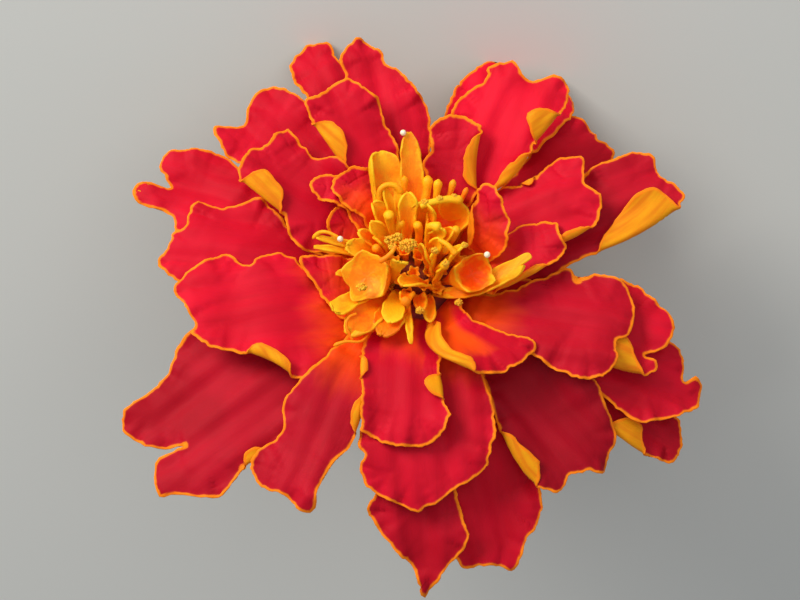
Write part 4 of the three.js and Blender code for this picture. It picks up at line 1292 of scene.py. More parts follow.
@dataclass
class RayPetals:
    """The ray petals, laid one on another from the undermost up, and the seat that they spring from."""

    thickness: float = 0.3
    edge_share: float = 0.5
    edge_reach: float = 1.2
    bead: float = 0.04
    across: int = 50
    along: int = 64
    gap: float = 0.35
    cell: float = 0.5
    reach: float = 36.0
    bottom: float = -99.0
    most: float = 4.0
    claw_share: float = 0.12
    claw_ease: float = 0.15
    evening: int = 4
    band_drop: float = 8.0
    # Where the flush comes back in from a petal's margin, in widths of its band.
    band_ends: Point = (0.3, 1.9)
    pattern_step: float = 7.0
    seat: tuple[Point, ...] = (
        (0.01, -1.25), (5.6, -1.25), (5.65, 0.4), (5.4, 1.9), (4.6, 3.0), (3.2, 3.3), (0.01, 3.4),
    )
    seat_sides: int = 64
    finish: PetalVelvet = PetalVelvet()
    flesh: Mottle = Mottle("seat_flesh", (176, 40, 12), (128, 18, 10), 0.6, 0.6)

    def build(self) -> None:
        """Builds every petal and the seat."""
        velvet = self.finish.build()
        size = int(2 * self.reach / self.cell)
        heights = np.full((size, size), self.bottom)
        for index, petal in enumerate(PETALS):
            grid, margin, flat = petal.surface(index, self.across, self.along)
            grid = self.settle(grid, heights)
            self.piece(petal, index, grid, margin, flat, velvet)
        self.build_seat()

    def settle(self, grid: Array, heights: Array) -> Array:
        """Lifts a petal clear of those under it, and adds it to the heights.

        Args:
            grid: The petal's points.
            heights: The height of the petals laid so far, over the bloom's plane; changed in place.

        Returns:
            The lifted points.
        """
        top = len(heights) - 1
        i, j = (np.clip(((grid[..., k] + self.reach) / self.cell).astype(int), 0, top) for k in (0, 1))
        need = np.clip(heights[i, j] + self.gap - grid[..., 2], 0, self.most)
        share = np.linspace(0, 1, grid.shape[1])[None]
        free = np.clip((share - self.claw_share) / self.claw_ease, 0, 1)
        grid = grid.copy()
        grid[..., 2] += spread(need * free, self.evening)
        np.maximum.at(heights, (i, j), grid[..., 2])
        return grid

    def piece(
        self, petal: Petal, index: int, grid: Array, margin: Array, flat: Array, velvet: Material
    ) -> None:
        """Makes one petal.

        Args:
            petal: The petal.
            index: Its number in the table.
            grid: The points of its middle surface.
            margin: The distance of each from its margin.
            flat: Each laid flat.
            velvet: Its material.
        """
        thin = self.edge_share + (1 - self.edge_share) * smooth(margin, 0.0, self.edge_reach)
        points, faces, loop = blade(grid, self.thickness * thin, self.bead)
        n = margin.size
        laid = np.column_stack([flat.reshape(-1, 2), np.full(n, self.pattern_step * index)])
        flush = np.full(n, petal.flush)
        if petal.band:
            start, end = self.band_ends
            inside = smooth(margin.ravel(), start * petal.band, end * petal.band)
            flush -= self.band_drop * (1 - inside)
        maker = MeshMaker(f"petal_{petal.name}")
        maker.add(
            points,
            faces,
            margin=np.concatenate([margin.ravel(), margin.ravel(), np.zeros(len(loop))]),
            reverse=all_round(np.zeros(n), loop, 1.0, 0.5),
            flat=all_round(laid, loop),
            painted_shading=petal.painted_shading,
            flush=all_round(flush, loop),
        )
        maker.finish([velvet], "ray_petals", "petal_red")

    def build_seat(self) -> None:
        """Makes the seat under the petals."""
        maker = MeshMaker("petal_seat")
        maker.add(*turned(self.seat, self.seat_sides))
        maker.finish([self.flesh.build()], "ray_petals", "petal_red")


# How deep in the dome the florets are rooted, in mm.
ROOT_SUNK = 0.9
# The dome's height at radii from the axis, both in mm.
DOME_RADII = (0, 1.5, 2.7, 3.1)
DOME_HEIGHTS = (6.7, 6.5, 5.8, 4.6)


def dome_height(r: float) -> float:
    """The height of the dome under the florets at radius r, in mm."""
    return float(np.interp(r, DOME_RADII, DOME_HEIGHTS))


def rooted(root: Point) -> Array:
    """The place inside the dome under a floret's root."""
    return np.array([*root, dome_height(math.hypot(*root)) - ROOT_SUNK])


@dataclass(frozen=True)
class StrapRule:
    """How every strap floret is drawn, in mm, radians, and shares of its length or width.

    Of a pair, the first value is how much, and the second is the length or the number of the waves, where the
    form sets in or how far it is turned. Fork holds its left and right prongs, and the other three pairs are
    spans over which something sets in.
    """

    bend: Triple = (0.3, 0.3, 0.72)
    lean: float = 0.3
    crowd: float = 1.5
    turn_from: float = 0.2
    uneven: Point = (0.07, 1.8)
    twist: Point = (0.06, 0.8)
    ripple: Point = (0.1, 2.6)
    hood: Point = (0.9, 0.72)
    roll: Point = (0.28, 2.9)
    roll_span: Point = (0.2, 0.5)
    cut: Point = (0.07, 0.7)
    lobe: Point = (0.22, 1.5)
    fork: Point = (0.5, 0.2)
    left_prong: Point = (0.0, 0.7)
    right_prong: Point = (0.3, 1.0)
    end_from: float = 0.8
    closes: float = 1.002
    least: float = 0.01
    pattern_step: float = 3.0


STRAP = StrapRule()

# Each strap's half widths at root, thirds and tip, in its own half width, and where its end starts to round.
STRAP_OUTLINES: dict[Tip, tuple[tuple[float, ...], float]] = {
    Tip.ROUND: ((0.5, 0.68, 1.0, 0.86), 0.82),
    Tip.POINT: ((0.6, 0.84, 1.0, 0.9), 0.76),
    Tip.SPOON: ((0.42, 0.45, 0.85, 1.05), 0.76),
    Tip.LOBED: ((0.42, 0.62, 1.0, 0.95), 0.9),
    Tip.HOOD: ((0.42, 0.62, 1.0, 1.05), 0.84),
    Tip.CUT: ((0.42, 0.5, 0.8, 1.1), 0.96),
    Tip.FORK: ((0.4, 0.45, 0.85, 1.05), 0.93),
}


@dataclass(frozen=True)
class Strap:
    """A strap floret, which rises from the dome and bends over to its tip, in mm and degrees.

    Attributes:
        root: Where it springs on the dome.
        tip: Its tip.
        width: Its greatest width.
        channel: How far its sides are raised.
        end: How it ends.
        tones: Its colour position at root and tip.
        rolled: How much of its left and right margins is rolled over on to the face.
        bent: How far its face is turned round its length at the tip.
        sway: How far its bend sways to the left.
    """

    root: Point
    tip: Triple
    width: float
    channel: float
    end: Tip = Tip.ROUND
    tones: Point = (0.3, 0.9)
    rolled: Point = (0.0, 0.0)
    bent: float = 0.0
    sway: float = 0.0

    def outline(self, t: Array) -> Array:
        """Its half width along its length, rounded off at the end.

        Args:
            t: Shares of its length.

        Returns:
            The half widths, in mm.
        """
        widths, cap = STRAP_OUTLINES[self.end]
        half = self.width / 2 * np.interp(t, (0, 1 / 3, 2 / 3, 1), widths)
        past = np.clip((t - cap) / (STRAP.closes - cap), 0, 1)
        return half * np.sqrt(np.clip(1 - past**2, STRAP.least, 1))

    def spine(self, t: Array) -> tuple[Array, Array, Array, Array]:
        """Its middle line.

        Args:
            t: Shares of its length.

        Returns:
            The points, the way along, the way to the left and the way up from the face at each share.
        """
        start, end = rooted(self.root), np.array(self.tip)
        level = unit(np.cross([0, 0, 1], end - STRAP.lean * start))
        bend = start + (end - start) * np.array(STRAP.bend) + self.sway * level
        tt = t[:, None]
        line = (1 - tt) ** 2 * start + 2 * tt * (1 - tt) * bend + tt**2 * end
        way = unit(2 * (1 - tt) * (bend - start) + 2 * tt * (end - bend))
        upright = np.cross(way, level)
        angle = np.radians(self.bent) * smooth(t, STRAP.turn_from, 1.0)[:, None]
        side = level * np.cos(angle) + upright * np.sin(angle)
        return line, way, side, upright * np.cos(angle) - level * np.sin(angle)

    def relief(self, seed: int, s: Array, t: Array, half: Array, reach: float) -> Array:
        """How far its face stands over its middle line.

        Args:
            seed: Seeds its small waves.
            s: How far across each row is, from 1 on the left to -1.
            t: Shares of its length.
            half: Its half width at those shares, in mm.
            reach: Its length, in mm.

        Returns:
            The heights, in mm.
        """
        rng = np.random.default_rng(seed)
        twist, twists = STRAP.twist
        ripple, ripple_wave = STRAP.ripple
        lift = self.channel * s**2 * (half / (self.width / 2))[None]
        lift = lift + twist * self.width * np.sin(2 * np.pi * (twists * t[None] + rng.random())) * s
        wave = np.sin(2 * np.pi * (t[None] * reach / ripple_wave + rng.random()))
        lift = lift + ripple * wave * np.abs(s) ** 3
        if self.end is Tip.HOOD:
            lift = lift + STRAP.hood[0] * self.channel * smooth(t, STRAP.hood[1], 1.0)[None]
        return lift

    def longer(self, seed: int, s: Array) -> Array:
        """How much longer each row runs at the end.

        Args:
            seed: Seeds a cut end.
            s: How far across each row is, from 1 on the left to -1.

        Returns:
            The lengths, in mm.
        """
        if self.end is Tip.CUT:
            return STRAP.cut[0] * wobble(self.width * s, seed, STRAP.cut[1])
        if self.end is Tip.LOBED:
            return STRAP.lobe[0] * self.width * np.abs(np.cos(STRAP.lobe[1] * np.pi * s))
        if self.end is Tip.FORK:
            left, right = smooth(s, *STRAP.left_prong), smooth(-s, *STRAP.right_prong)
            return self.width * (STRAP.fork[0] * left + STRAP.fork[1] * right)
        return np.zeros_like(s)

    def surface(self, seed: int, across: int, along: int) -> tuple[Array, Array, Array]:
        """The strap's middle surface.

        Args:
            seed: Seeds its small waves.
            across: Points from side to side.
            along: Points from root to tip.

        Returns:
            The grid of points, the distance of each from the margin, and each laid flat.
        """
        t = 1 - (1 - np.linspace(0, 1, along)) ** STRAP.crowd
        s = np.sin(np.linspace(np.pi / 2, -np.pi / 2, across))[:, None]
        line, way, side, face = self.spine(t)
        reach = float(np.linalg.norm(np.array(self.tip) - rooted(self.root)))
        half = self.outline(t) * (1 + STRAP.uneven[0] * wobble(t * reach, seed, STRAP.uneven[1]))
        u = s * half[None]
        margin = np.minimum((1 - np.abs(s)) * half[None], ((1 - t) * reach)[None])
        pattern = np.full(u.shape, STRAP.pattern_step * seed)
        flat = np.stack([u, np.broadcast_to(t * reach, u.shape), pattern], -1)
        lift = self.relief(seed, s, t, half, reach)
        radius, most = STRAP.roll
        for hand, amount in zip((1, -1), self.rolled):
            taken = amount * (smooth(t, *STRAP.roll_span) * 2 * half / self.width)[None]
            over = taken - (half[None] - hand * u)
            angle = np.clip(over / radius, 0, most)
            u = u - hand * np.where(over > 0, over - radius * np.sin(angle), 0)
            lift = lift + np.where(over > 0, radius * (1 - np.cos(angle)), 0)
        grid = line[None] + u[..., None] * side + lift[..., None] * face[None]
        ending = self.longer(seed, s) * smooth(t, STRAP.end_from, 1.0)[None]
        return grid + ending[..., None] * way[None], margin, flat


@dataclass(frozen=True)
class BellRule:
    """How every bell floret is drawn, in mm and shares of its length or radius.

    Of uneven and mottle the second value is the length of a wave, and lobe_middle is the place on a lobe that
    lies at the rim's own radius and at its own height.
    """

    sides: int = 72
    facing: float = 0.4
    forward: Triple = (0.0, -0.37, 0.93)
    neck: float = 0.36
    opens: float = 0.25
    flare: float = 0.8
    rim_from: float = 0.5
    inside: float = 1.5
    uneven: Point = (0.14, 2.6)
    sunk: float = 0.4
    outer_tones: Point = (0.3, 0.6)
    mottle: Point = (0.25, 2.0)
    mottle_seed: int = 9
    mottle_step: float = 7.0
    uneven_rise: float = 0.8
    lobe_middle: Point = (0.5, 0.55)


BELL = BellRule()

# Where a bell's rings stand: outside as shares of its length, and inside as shares of its radius.
BELL_OUTSIDE = (0, 0.2, 0.38, 0.5, 0.6, 0.7, 0.8, 0.88, 0.95, 1)
BELL_INSIDE = (0.99, 0.95, 0.88, 0.78, 0.66, 0.52, 0.36, 0.2)


@dataclass(frozen=True)
class Bell:
    """A floret that opens in a bell with lobes round its mouth, in mm and degrees.

    Attributes:
        root: Where it springs on the dome.
        mouth: The middle of its mouth.
        radius: The radius of its mouth.
        lobes: How many lobes it has.
        cut: How far the gaps between them go down.
        squash: Its depth as a share of its width.
        turn: How far its lobes are turned round.
        tones: Its colour position deep inside and at the mouth.
        bowl: How deep it is inside.
        hood: How far its back stands up and its front hangs down.
        points: How far its lobes stand out, as a share of its radius.
    """

    root: Point
    mouth: Triple
    radius: float
    lobes: int
    cut: float
    squash: float
    turn: float
    tones: Point
    bowl: float
    hood: float = 0.0
    points: float = 0.14

    def surface(self, seed: int, thickness: float) -> tuple[Array, Array, Array]:
        """The bell's rings, up its outside and down its inside.

        Args:
            seed: Seeds its uneven rim.
            thickness: The thickness of its wall, in mm.

        Returns:
            The rings of points, the distance of each point from the rim, and its colour position.
        """
        start, mouth = rooted(self.root), np.array(self.mouth)
        length = float(np.linalg.norm(mouth - start))
        axis = unit(mouth - start)
        facing = unit(BELL.facing * axis + np.array(BELL.forward))
        a = angles(BELL.sides)
        rings, margins, tones = [], [], []
        for t in BELL_OUTSIDE:
            opened = float(smooth(t, BELL.opens, 1.0)) ** BELL.flare
            normal = unit(axis * (1 - opened) + facing * opened)
            centre = start + (mouth - start) * t
            reach = BELL.neck + (self.radius - BELL.neck) * opened
            rings.append(self.ring(seed, centre, normal, reach, float(smooth(t, BELL.rim_from, 1.0))))
            margins.append(np.full(len(a), (1 - t) * length))
            tones.append(np.full(len(a), between(BELL.outer_tones, t)))
        strength, wave = BELL.mottle
        for share in BELL_INSIDE:
            centre = mouth - facing * (self.bowl * (1 - share**2) + BELL.sunk * thickness)
            reach = self.radius * share - thickness / 2
            rings.append(self.ring(seed, centre, facing, reach, share**BELL.inside))
            margins.append(np.full(len(a), (1 - share) * self.radius))
            mottle = wobble(a * self.radius + BELL.mottle_step * share, seed + BELL.mottle_seed, wave)
            tones.append(between(self.tones, share) + strength * share * mottle)
        return np.array(rings), np.concatenate(margins), np.concatenate(tones)

    def ring(self, seed: int, centre: Array, normal: Array, reach: float, near: float) -> Array:
        """One ring of points.

        Args:
            seed: Seeds its uneven rim.
            centre: Its middle, in mm.
            normal: The way that it faces.
            reach: Its radius, in mm.
            near: How near the rim it is, from 0 to 1.

        Returns:
            Its points.
        """
        a = angles(BELL.sides)
        lobe = 1 - np.abs(np.sin(self.lobes * a / 2 + math.radians(self.turn)))
        uneven = BELL.uneven[0] * wobble(a * self.radius, seed, BELL.uneven[1])
        side = unit(np.cross([0.0, 1.0, 0.2], normal))
        other = np.cross(normal, side)
        level, height = BELL.lobe_middle
        out = reach * (1 + near * self.points * (lobe - level)) + near * uneven
        rise = near * (self.cut * (lobe - height) + BELL.uneven_rise * uneven + self.hood * np.sin(a))
        flat = (out * np.cos(a))[:, None] * side + (self.squash * out * np.sin(a))[:, None] * other
        return centre + flat + rise[:, None] * normal


# How many points a rod's path has, and how often its corners are smoothed.
ROD_STEPS = 22
ROD_SMOOTHING = 12
# A way that no rod follows, from which the sides of its rings are turned.
ROD_ASIDE = (0.31, 0.95, 0.05)


@dataclass(frozen=True)
class Rod:
    """A slender style branch or filament: its path from root to tip, its greatest radius and its head."""

    path: tuple[Triple, ...]
    radius: float
    head: float = 1.3
    tones: Point = (0.3, 1.0)

    def line(self) -> Array:
        """Its path in even steps, with its corners smoothed."""
        t = np.linspace(0, 1, ROD_STEPS)
        knots = np.linspace(0, 1, len(self.path))
        line = np.stack([np.interp(t, knots, [p[k] for p in self.path]) for k in range(3)], 1)
        if len(self.path) > 2:
            for _ in range(ROD_SMOOTHING):
                line[1:-1] = (line[:-2] + 2 * line[1:-1] + line[2:]) / 4
        return line

    def rings(self, sides: int) -> tuple[Array, Array]:
        """Its rings of points.

        Args:
            sides: How many points each has.

        Returns:
            The rings, and the colour position of each point.
        """
        line = self.line()
        t = np.linspace(0, 1, ROD_STEPS)
        widths = (0.75, 0.8, 0.8 + 0.1 * self.head, self.head, 0.75 * self.head, 0.3)
        radii = self.radius * np.interp(t, (0, 0.5, 0.75, 0.9, 0.97, 1), widths)[:, None]
        along = unit(np.gradient(line, axis=0))
        across = unit(np.cross(along, np.array(ROD_ASIDE)))
        other = np.cross(along, across)
        a = angles(sides)
        rings = (
            line[:, None]
            + (radii * np.cos(a))[..., None] * across[:, None]
            + (radii * np.sin(a))[..., None] * other[:, None]
        )
        return rings, np.repeat(between(self.tones, t), sides)


# The strap florets.
STRAPS: tuple[Strap, ...] = (
    Strap((0.4, 2.7), (-0.35, 11.3, 12.4), 2.1, 0.3, Tip.POINT, (0.1, 0.65)),
    Strap((-2.0, 2.1), (-3.3, 9.9, 10.8), 3.6, 0.6, Tip.HOOD, (0.4, 0.8), rolled=(0.9, 0.0)),
    Strap((-1.1, 2.3), (-2.8, 6.2, 11), 1.1, 0.2, tones=(0.5, 1.0), bent=40),
    Strap((-0.6, 2.3), (-1.5, 6.1, 11), 1.0, 0.2, tones=(0.4, 1.0), bent=-40),
    Strap((-0.6, 1.0), (-0.4, 4.9, 12.5), 1.9, 0.5, Tip.SPOON, (0.0, 0.9)),
    Strap((-1.6, 2.0), (-3.8, 4.7, 10.6), 1.9, 0.4, tones=(0.3, 0.8), bent=25),
    Strap((-1.6, 1.6), (-4.0, 2.7, 10.5), 1.4, 0.3, tones=(0.3, 1.0), bent=-30),
    Strap((-2.3, 1.2), (-5.2, 2.1, 9.6), 1.4, 0.4, tones=(0.0, 0.4)),
    Strap((-2.0, 0.8), (-3.7, 1.2, 10.2), 1.3, 0.3, tones=(0.1, 0.8), bent=50),
    Strap((0.7, 2.4), (1.4, 4.3, 12), 2.4, 0.6, Tip.HOOD, (0.1, 0.8)),
    Strap((1.2, 1.2), (2.9, 1.1, 12.5), 1.4, 0.3, tones=(0.3, 1.0), bent=60),
    Strap((1.7, 0.9), (3.9, 1.2, 12), 1.4, 0.3, tones=(0.0, 0.5)),
    Strap((2.2, -1.6), (0.9, -0.3, 12), 1.3, 0.3, tones=(0.2, 0.7), rolled=(0.25, 0.0)),
    Strap((2.1, -1.3), (2.1, -1.0, 12.2), 1.1, 0.2, tones=(0.2, 0.9)),
    Strap((1.8, 0.0), (2.6, 0.2, 12.2), 1.3, 0.3, tones=(0.3, 1.0), bent=45),
    Strap((2.3, -1.6), (4.8, -0.6, 12.4), 1.1, 0.3, tones=(0.3, 1.0), bent=-30),
    Strap((2.1, -1.9), (3.2, -1.9, 11.6), 1.0, 0.2, tones=(0.3, 1.0)),
    Strap((2.1, -1.9), (10.3, -1.6, 10.0), 2.2, 0.3, Tip.FORK, (0.3, 0.75), sway=-3.0),
    Strap((2.2, -2.0), (-0.9, -3.9, 10.6), 2.5, 0.5, Tip.SPOON, (0.15, 0.75)),
    Strap((-2.2, -1.8), (-1.2, -1.9, 11.6), 1.4, 0.2, Tip.CUT, (0.5, 1.05)),
    Strap((-2.5, -0.5), (-7.3, -2.1, 9.2), 0.9, 0.1, tones=(0.3, 0.6)),
    Strap((-2.4, 0.4), (-6.0, 0.4, 9.8), 2.0, 0.4, Tip.LOBED, (0.3, 0.8)),
    Strap((-2.5, 1.0), (-9.2, 1.6, 9.4), 0.7, 0.1, tones=(0.4, 0.8)),
    Strap((-2.6, 0.6), (-9.4, 0.7, 9.2), 0.6, 0.1, tones=(0.4, 0.9)),
    Strap((-1.2, -2.1), (-2.1, -7.0, 9.0), 2.3, 0.2, Tip.SPOON, (0.5, 1.15)),
    Strap((-2.1, -1.7), (-7.4, -5.8, 8.8), 1.9, 0.3, Tip.CUT, (0.4, 0.8), bent=20),
    Strap((-1.6, -2.2), (-5.7, -7.6, 8.3), 3.0, 0.4, Tip.LOBED, (0.2, 0.4)),
    Strap((-0.9, -2.5), (-2.7, -7.6, 8.2), 2.8, 0.3, Tip.LOBED, (0.1, 0.4)),
    Strap((-0.2, -2.6), (-0.8, -5.2, 9.5), 1.3, 0.3, tones=(0.0, 0.4)),
    Strap((0.7, -2.6), (0.8, -5.7, 8.6), 1.3, 0.3, tones=(0.0, 0.4)),
    Strap((1.5, -2.4), (1.7, -6.6, 8.1), 1.2, 0.2, tones=(0.1, 0.6)),
    Strap((-0.6, -2.6), (-0.2, -9.0, 8.7), 0.6, 0.1, tones=(0.2, 0.6)),
)

# The florets that open in a bell.
BELLS: tuple[Bell, ...] = (
    Bell((1.5, 1.6), (3.4, 3.1, 11.0), 2.2, 5, 0.5, 0.75, 20, (-0.5, 0.7), bowl=2.0, hood=0.9),
    Bell((2.5, -1.2), (5.9, -2.6, 10.6), 1.85, 4, 0.7, 1.0, 35, (-0.4, 0.4), bowl=1.5, hood=0.2),
    Bell((-1.6, -0.9), (-4.5, -2.6, 9.8), 2.2, 5, 0.3, 1.1, 122, (0.35, 0.7), bowl=0.8, points=0.2),
)

# The style branches and filaments that stand among the florets.
RODS: tuple[Rod, ...] = (
    Rod(((1.0, 2.4, 5.5), (1.3, 5.0, 9.5), (1.5, 7.4, 11.0)), 0.42),
    Rod(((1.5, 2.3, 5.5), (2.2, 5.0, 9.5), (2.5, 7.0, 11.0)), 0.36),
    Rod(((2.0, 2.0, 5.3), (3.4, 5.4, 9.2), (4.0, 7.2, 10.5)), 0.3, 1.2, (0.1, 0.8)),
    Rod(((2.3, 1.8, 5.0), (4.4, 5.0, 8.8), (5.3, 6.6, 10.0)), 0.24, 1.2, (0.0, 0.5)),
    Rod(((-0.4, 2.5, 5.5), (-0.7, 5.4, 9.5), (-0.8, 7.4, 11.0)), 0.3, 1.3, (0.2, 0.8)),
    Rod(((1.6, 0.4, 5.8), (1.4, 1.5, 11.0), (1.6, 1.6, 12.4), (2.7, 1.3, 12.3)), 0.42, 1.25, (0.6, 1.1)),
    Rod(((1.6, -1.0, 6.0), (2.6, -1.6, 10.0), (3.1, -2.4, 12.0)), 0.3, 1.5, (0.3, 1.1)),
    Rod(((-1.0, 1.0, 6.2), (-2.2, 2.6, 10.4), (-2.28, 3.04, 12.0)), 0.5, 1.1, (0.4, 1.1)),
    Rod(((-3.1, 4.9, 10.2), (-3.4, 5.8, 11.2), (-2.4, 6.4, 11.5),
         (-1.3, 6.1, 11.4), (-1.0, 5.5, 10.6)), 0.34, 1.0, (0.6, 0.9)),
    Rod(((-1.4, 0.5, 12.0), (-1.7, -0.8, 12.0), (-2.5, -1.5, 11.6),
         (-3.2, -1.7, 11.2)), 0.27, 1.1, (0.7, 0.5)),
    Rod(((2.5, 0.1, 12.3), (3.4, -0.6, 12.5), (4.1, -1.4, 12.1)), 0.32, 1.1, (0.8, 0.7)),
    Rod(((-5.4, 0.4, 8.4), (-6.5, 1.0, 9.9), (-7.8, 1.8, 10.1),
         (-8.9, 2.2, 9.8), (-9.6, 1.5, 9.3)), 0.2, 1.1, (0.5, 0.8)),
    Rod(((-4.3, -8.0, 8.1), (-4.9, -8.9, 8.5), (-6.3, -8.7, 8.7), (-7.5, -9.1, 8.3)), 0.17, 1.2, (0.3, 0.7)),
    Rod(((-5.3, -6.1, 9.0), (-6.1, -6.5, 9.2), (-6.4, -7.4, 9.0), (-5.6, -8.7, 8.4)), 0.17, 0.9, (0.5, 0.4)),
    Rod(((-0.5, -3.2, 5.6), (-0.7, -4.6, 8.8), (-0.66, -5.3, 10.0)), 0.34, 1.5, (0.0, 0.5)),
    Rod(((2.4, 0.9, 5.6), (3.8, 1.0, 10.6), (4.2, 1.4, 12.2)), 0.5, 0.9, (0.2, 0.8)),
    Rod(((0.4, 0.9, 6.4), (0.7, 2.0, 9.8), (0.4, 2.3, 11.2)), 0.5, 0.9, (0.1, 0.9)),
    Rod(((1.9, -0.2, 6.0), (2.6, 0.1, 9.4), (3.3, -0.3, 10.9)), 0.5, 0.9, (0.1, 0.7)),
    Rod(((-0.9, 1.9, 6.0), (-1.5, 2.3, 9.4), (-1.0, 2.7, 10.9)), 0.5, 0.9, (0.1, 0.9)),
    Rod(((-2.4, 0.2, 5.6), (-3.1, 0.5, 8.6), (-3.6, 0.2, 10.2)), 0.5, 0.9, (0.0, 0.6)),
    Rod(((0.75, 3.7, 12.0), (1.5, 3.95, 12.2), (2.7, 4.2, 12.3),
         (3.8, 4.4, 12.3), (4.8, 4.2, 12.1)), 0.42, 1.1, (1.2, 1.1)),
)

# The clumps of pollen: where each is and how large, in mm.
CLUMPS: tuple[tuple[Triple, float], ...] = (
    ((-2.2, 0.2, 12.0), 0.5), ((-1.5, 0.35, 12.2), 0.55), ((-1.9, -0.4, 11.9), 0.4),
    ((-0.6, -0.6, 12.4), 0.8), ((-0.2, -0.4, 12.4), 0.6), ((-4.8, -3.9, 10.3), 0.5),
    ((0.7, -5.8, 9.0), 0.4), ((4.4, -4.8, 8.6), 0.38), ((2.1, -1.0, 12.3), 0.35),
    ((3.1, -2.3, 12.2), 0.3), ((4.9, -0.5, 12.4), 0.3), ((1.2, 4.0, 12.3), 0.35),
    ((2.6, 4.3, 12.5), 0.3), ((4.0, 4.5, 12.4), 0.3),
)

# Where the drops of sap stand, in mm.
DROPS: tuple[Triple, ...] = ((-0.9, 11.1, 12.8), (7.0, -1.4, 12.2), (-6.9, 1.0, 10.4))


@dataclass(frozen=True)
class Tubes:
    """The small tubular florets that fill the dome.

    Each of their rings has a height, a radius and how lobed it is, all as shares.
    """

    count: int = 22
    turn: float = 137.5
    reach: float = 3.0
    lean: float = 26.0
    sunk: float = 0.8
    tallest: float = 3.4
    drop: float = 1.6
    drop_step: float = 0.382
    radius: float = 0.42
    radius_stray: float = 0.12
    sides: int = 30
    lobes: int = 5
    lobe_out: float = 0.35
    lobe_cut: float = 0.28
    tones: Point = (0.15, 0.65)
    rings: tuple[Triple, ...] = (
        (0.0, 0.55, 0.0), (0.3, 0.6, 0.0), (0.6, 0.78, 0.0), (0.82, 0.95, 0.0), (0.92, 1.05, 0.5),
        (1.0, 1.3, 1.0), (1.0, 1.2, 1.0), (0.92, 0.85, 0.5), (0.8, 0.72, 0.0), (0.55, 0.5, 0.0),
    )
    seed: int = 17

    def piece(self) -> MeshMaker:
        """Makes them all as one piece."""
        maker = MeshMaker("floret_tubes")
        rng = np.random.default_rng(self.seed)
        for k in range(self.count):
            share = math.sqrt((k + 0.5) / self.count)
            angle, r = math.radians(self.turn * k), self.reach * share
            lean = math.radians(self.lean * share)
            out = np.array([math.cos(angle), math.sin(angle), 0])
            axis = math.sin(lean) * out + np.array([0, 0, math.cos(lean)])
            base = r * out + np.array([0, 0, dome_height(r) - self.sunk])
            height = self.tallest - self.drop * ((k * self.drop_step) % 1)
            radius = self.radius + self.radius_stray * rng.random()
            self.add_tube(maker, base, axis, height, radius, turn=rng.random())
        return maker

    def add_tube(
        self, maker: MeshMaker, base: Array, axis: Array, height: float, radius: float, turn: float
    ) -> None:
        """Adds one tubular floret, open at the top with its lobes spread.

        Args:
            maker: The piece that it joins.
            base: Its root.
            axis: Its direction.
            height: Its height, in mm.
            radius: Its greatest radius, in mm.
            turn: How far its lobes are turned round, from 0 to 1.
        """
        side = unit(np.cross([0.0, 0.3, 1.0], axis + np.array([1e-3, 0, 0])))
        other = np.cross(axis, side)
        a = angles(self.sides)
        lobe = np.cos(self.lobes * a / 2 + np.pi * turn) ** 2
        rings, tones = [], []
        for t, width, lobed in self.rings:
            reach = radius * width * (1 + self.lobe_out * lobed * (lobe - 0.5))
            rise = t * height - self.lobe_cut * lobed * (1 - lobe)
            level = (reach * np.cos(a))[:, None] * side + (reach * np.sin(a))[:, None] * other
            rings.append(base + rise[:, None] * axis + level)
            tones.append(np.full(len(a), between(self.tones, t)))
        points, faces = ringed(np.array(rings))
        maker.add(points, faces, tone=np.concatenate([*tones, [0.1, 0.0]]))


@dataclass(frozen=True)
class Pollen:
    """The clumps of pollen, each a loose heap of grains."""

    least: int = 60
    more: int = 200
    stretch: Triple = (1.0, 0.8, 0.7)
    hollow: float = 0.55
    grain: float = 0.06
    grain_stray: float = 0.1
    seed: int = 23

    def piece(self) -> MeshMaker:
        """Makes all the clumps as one piece."""
        maker = MeshMaker("pollen_clumps")
        rng = np.random.default_rng(self.seed)
        for centre, size in CLUMPS:
            ways = unit(rng.normal(size=(int(self.least + self.more * size), 3)))
            for way in ways:
                out = self.hollow + (1 - self.hollow) * rng.random()
                at = np.array(centre) + way * np.array(self.stretch) * size * out
                maker.add(*ball(at, self.grain + self.grain_stray * rng.random() ** 2, sides=6, rings=4))
        return maker


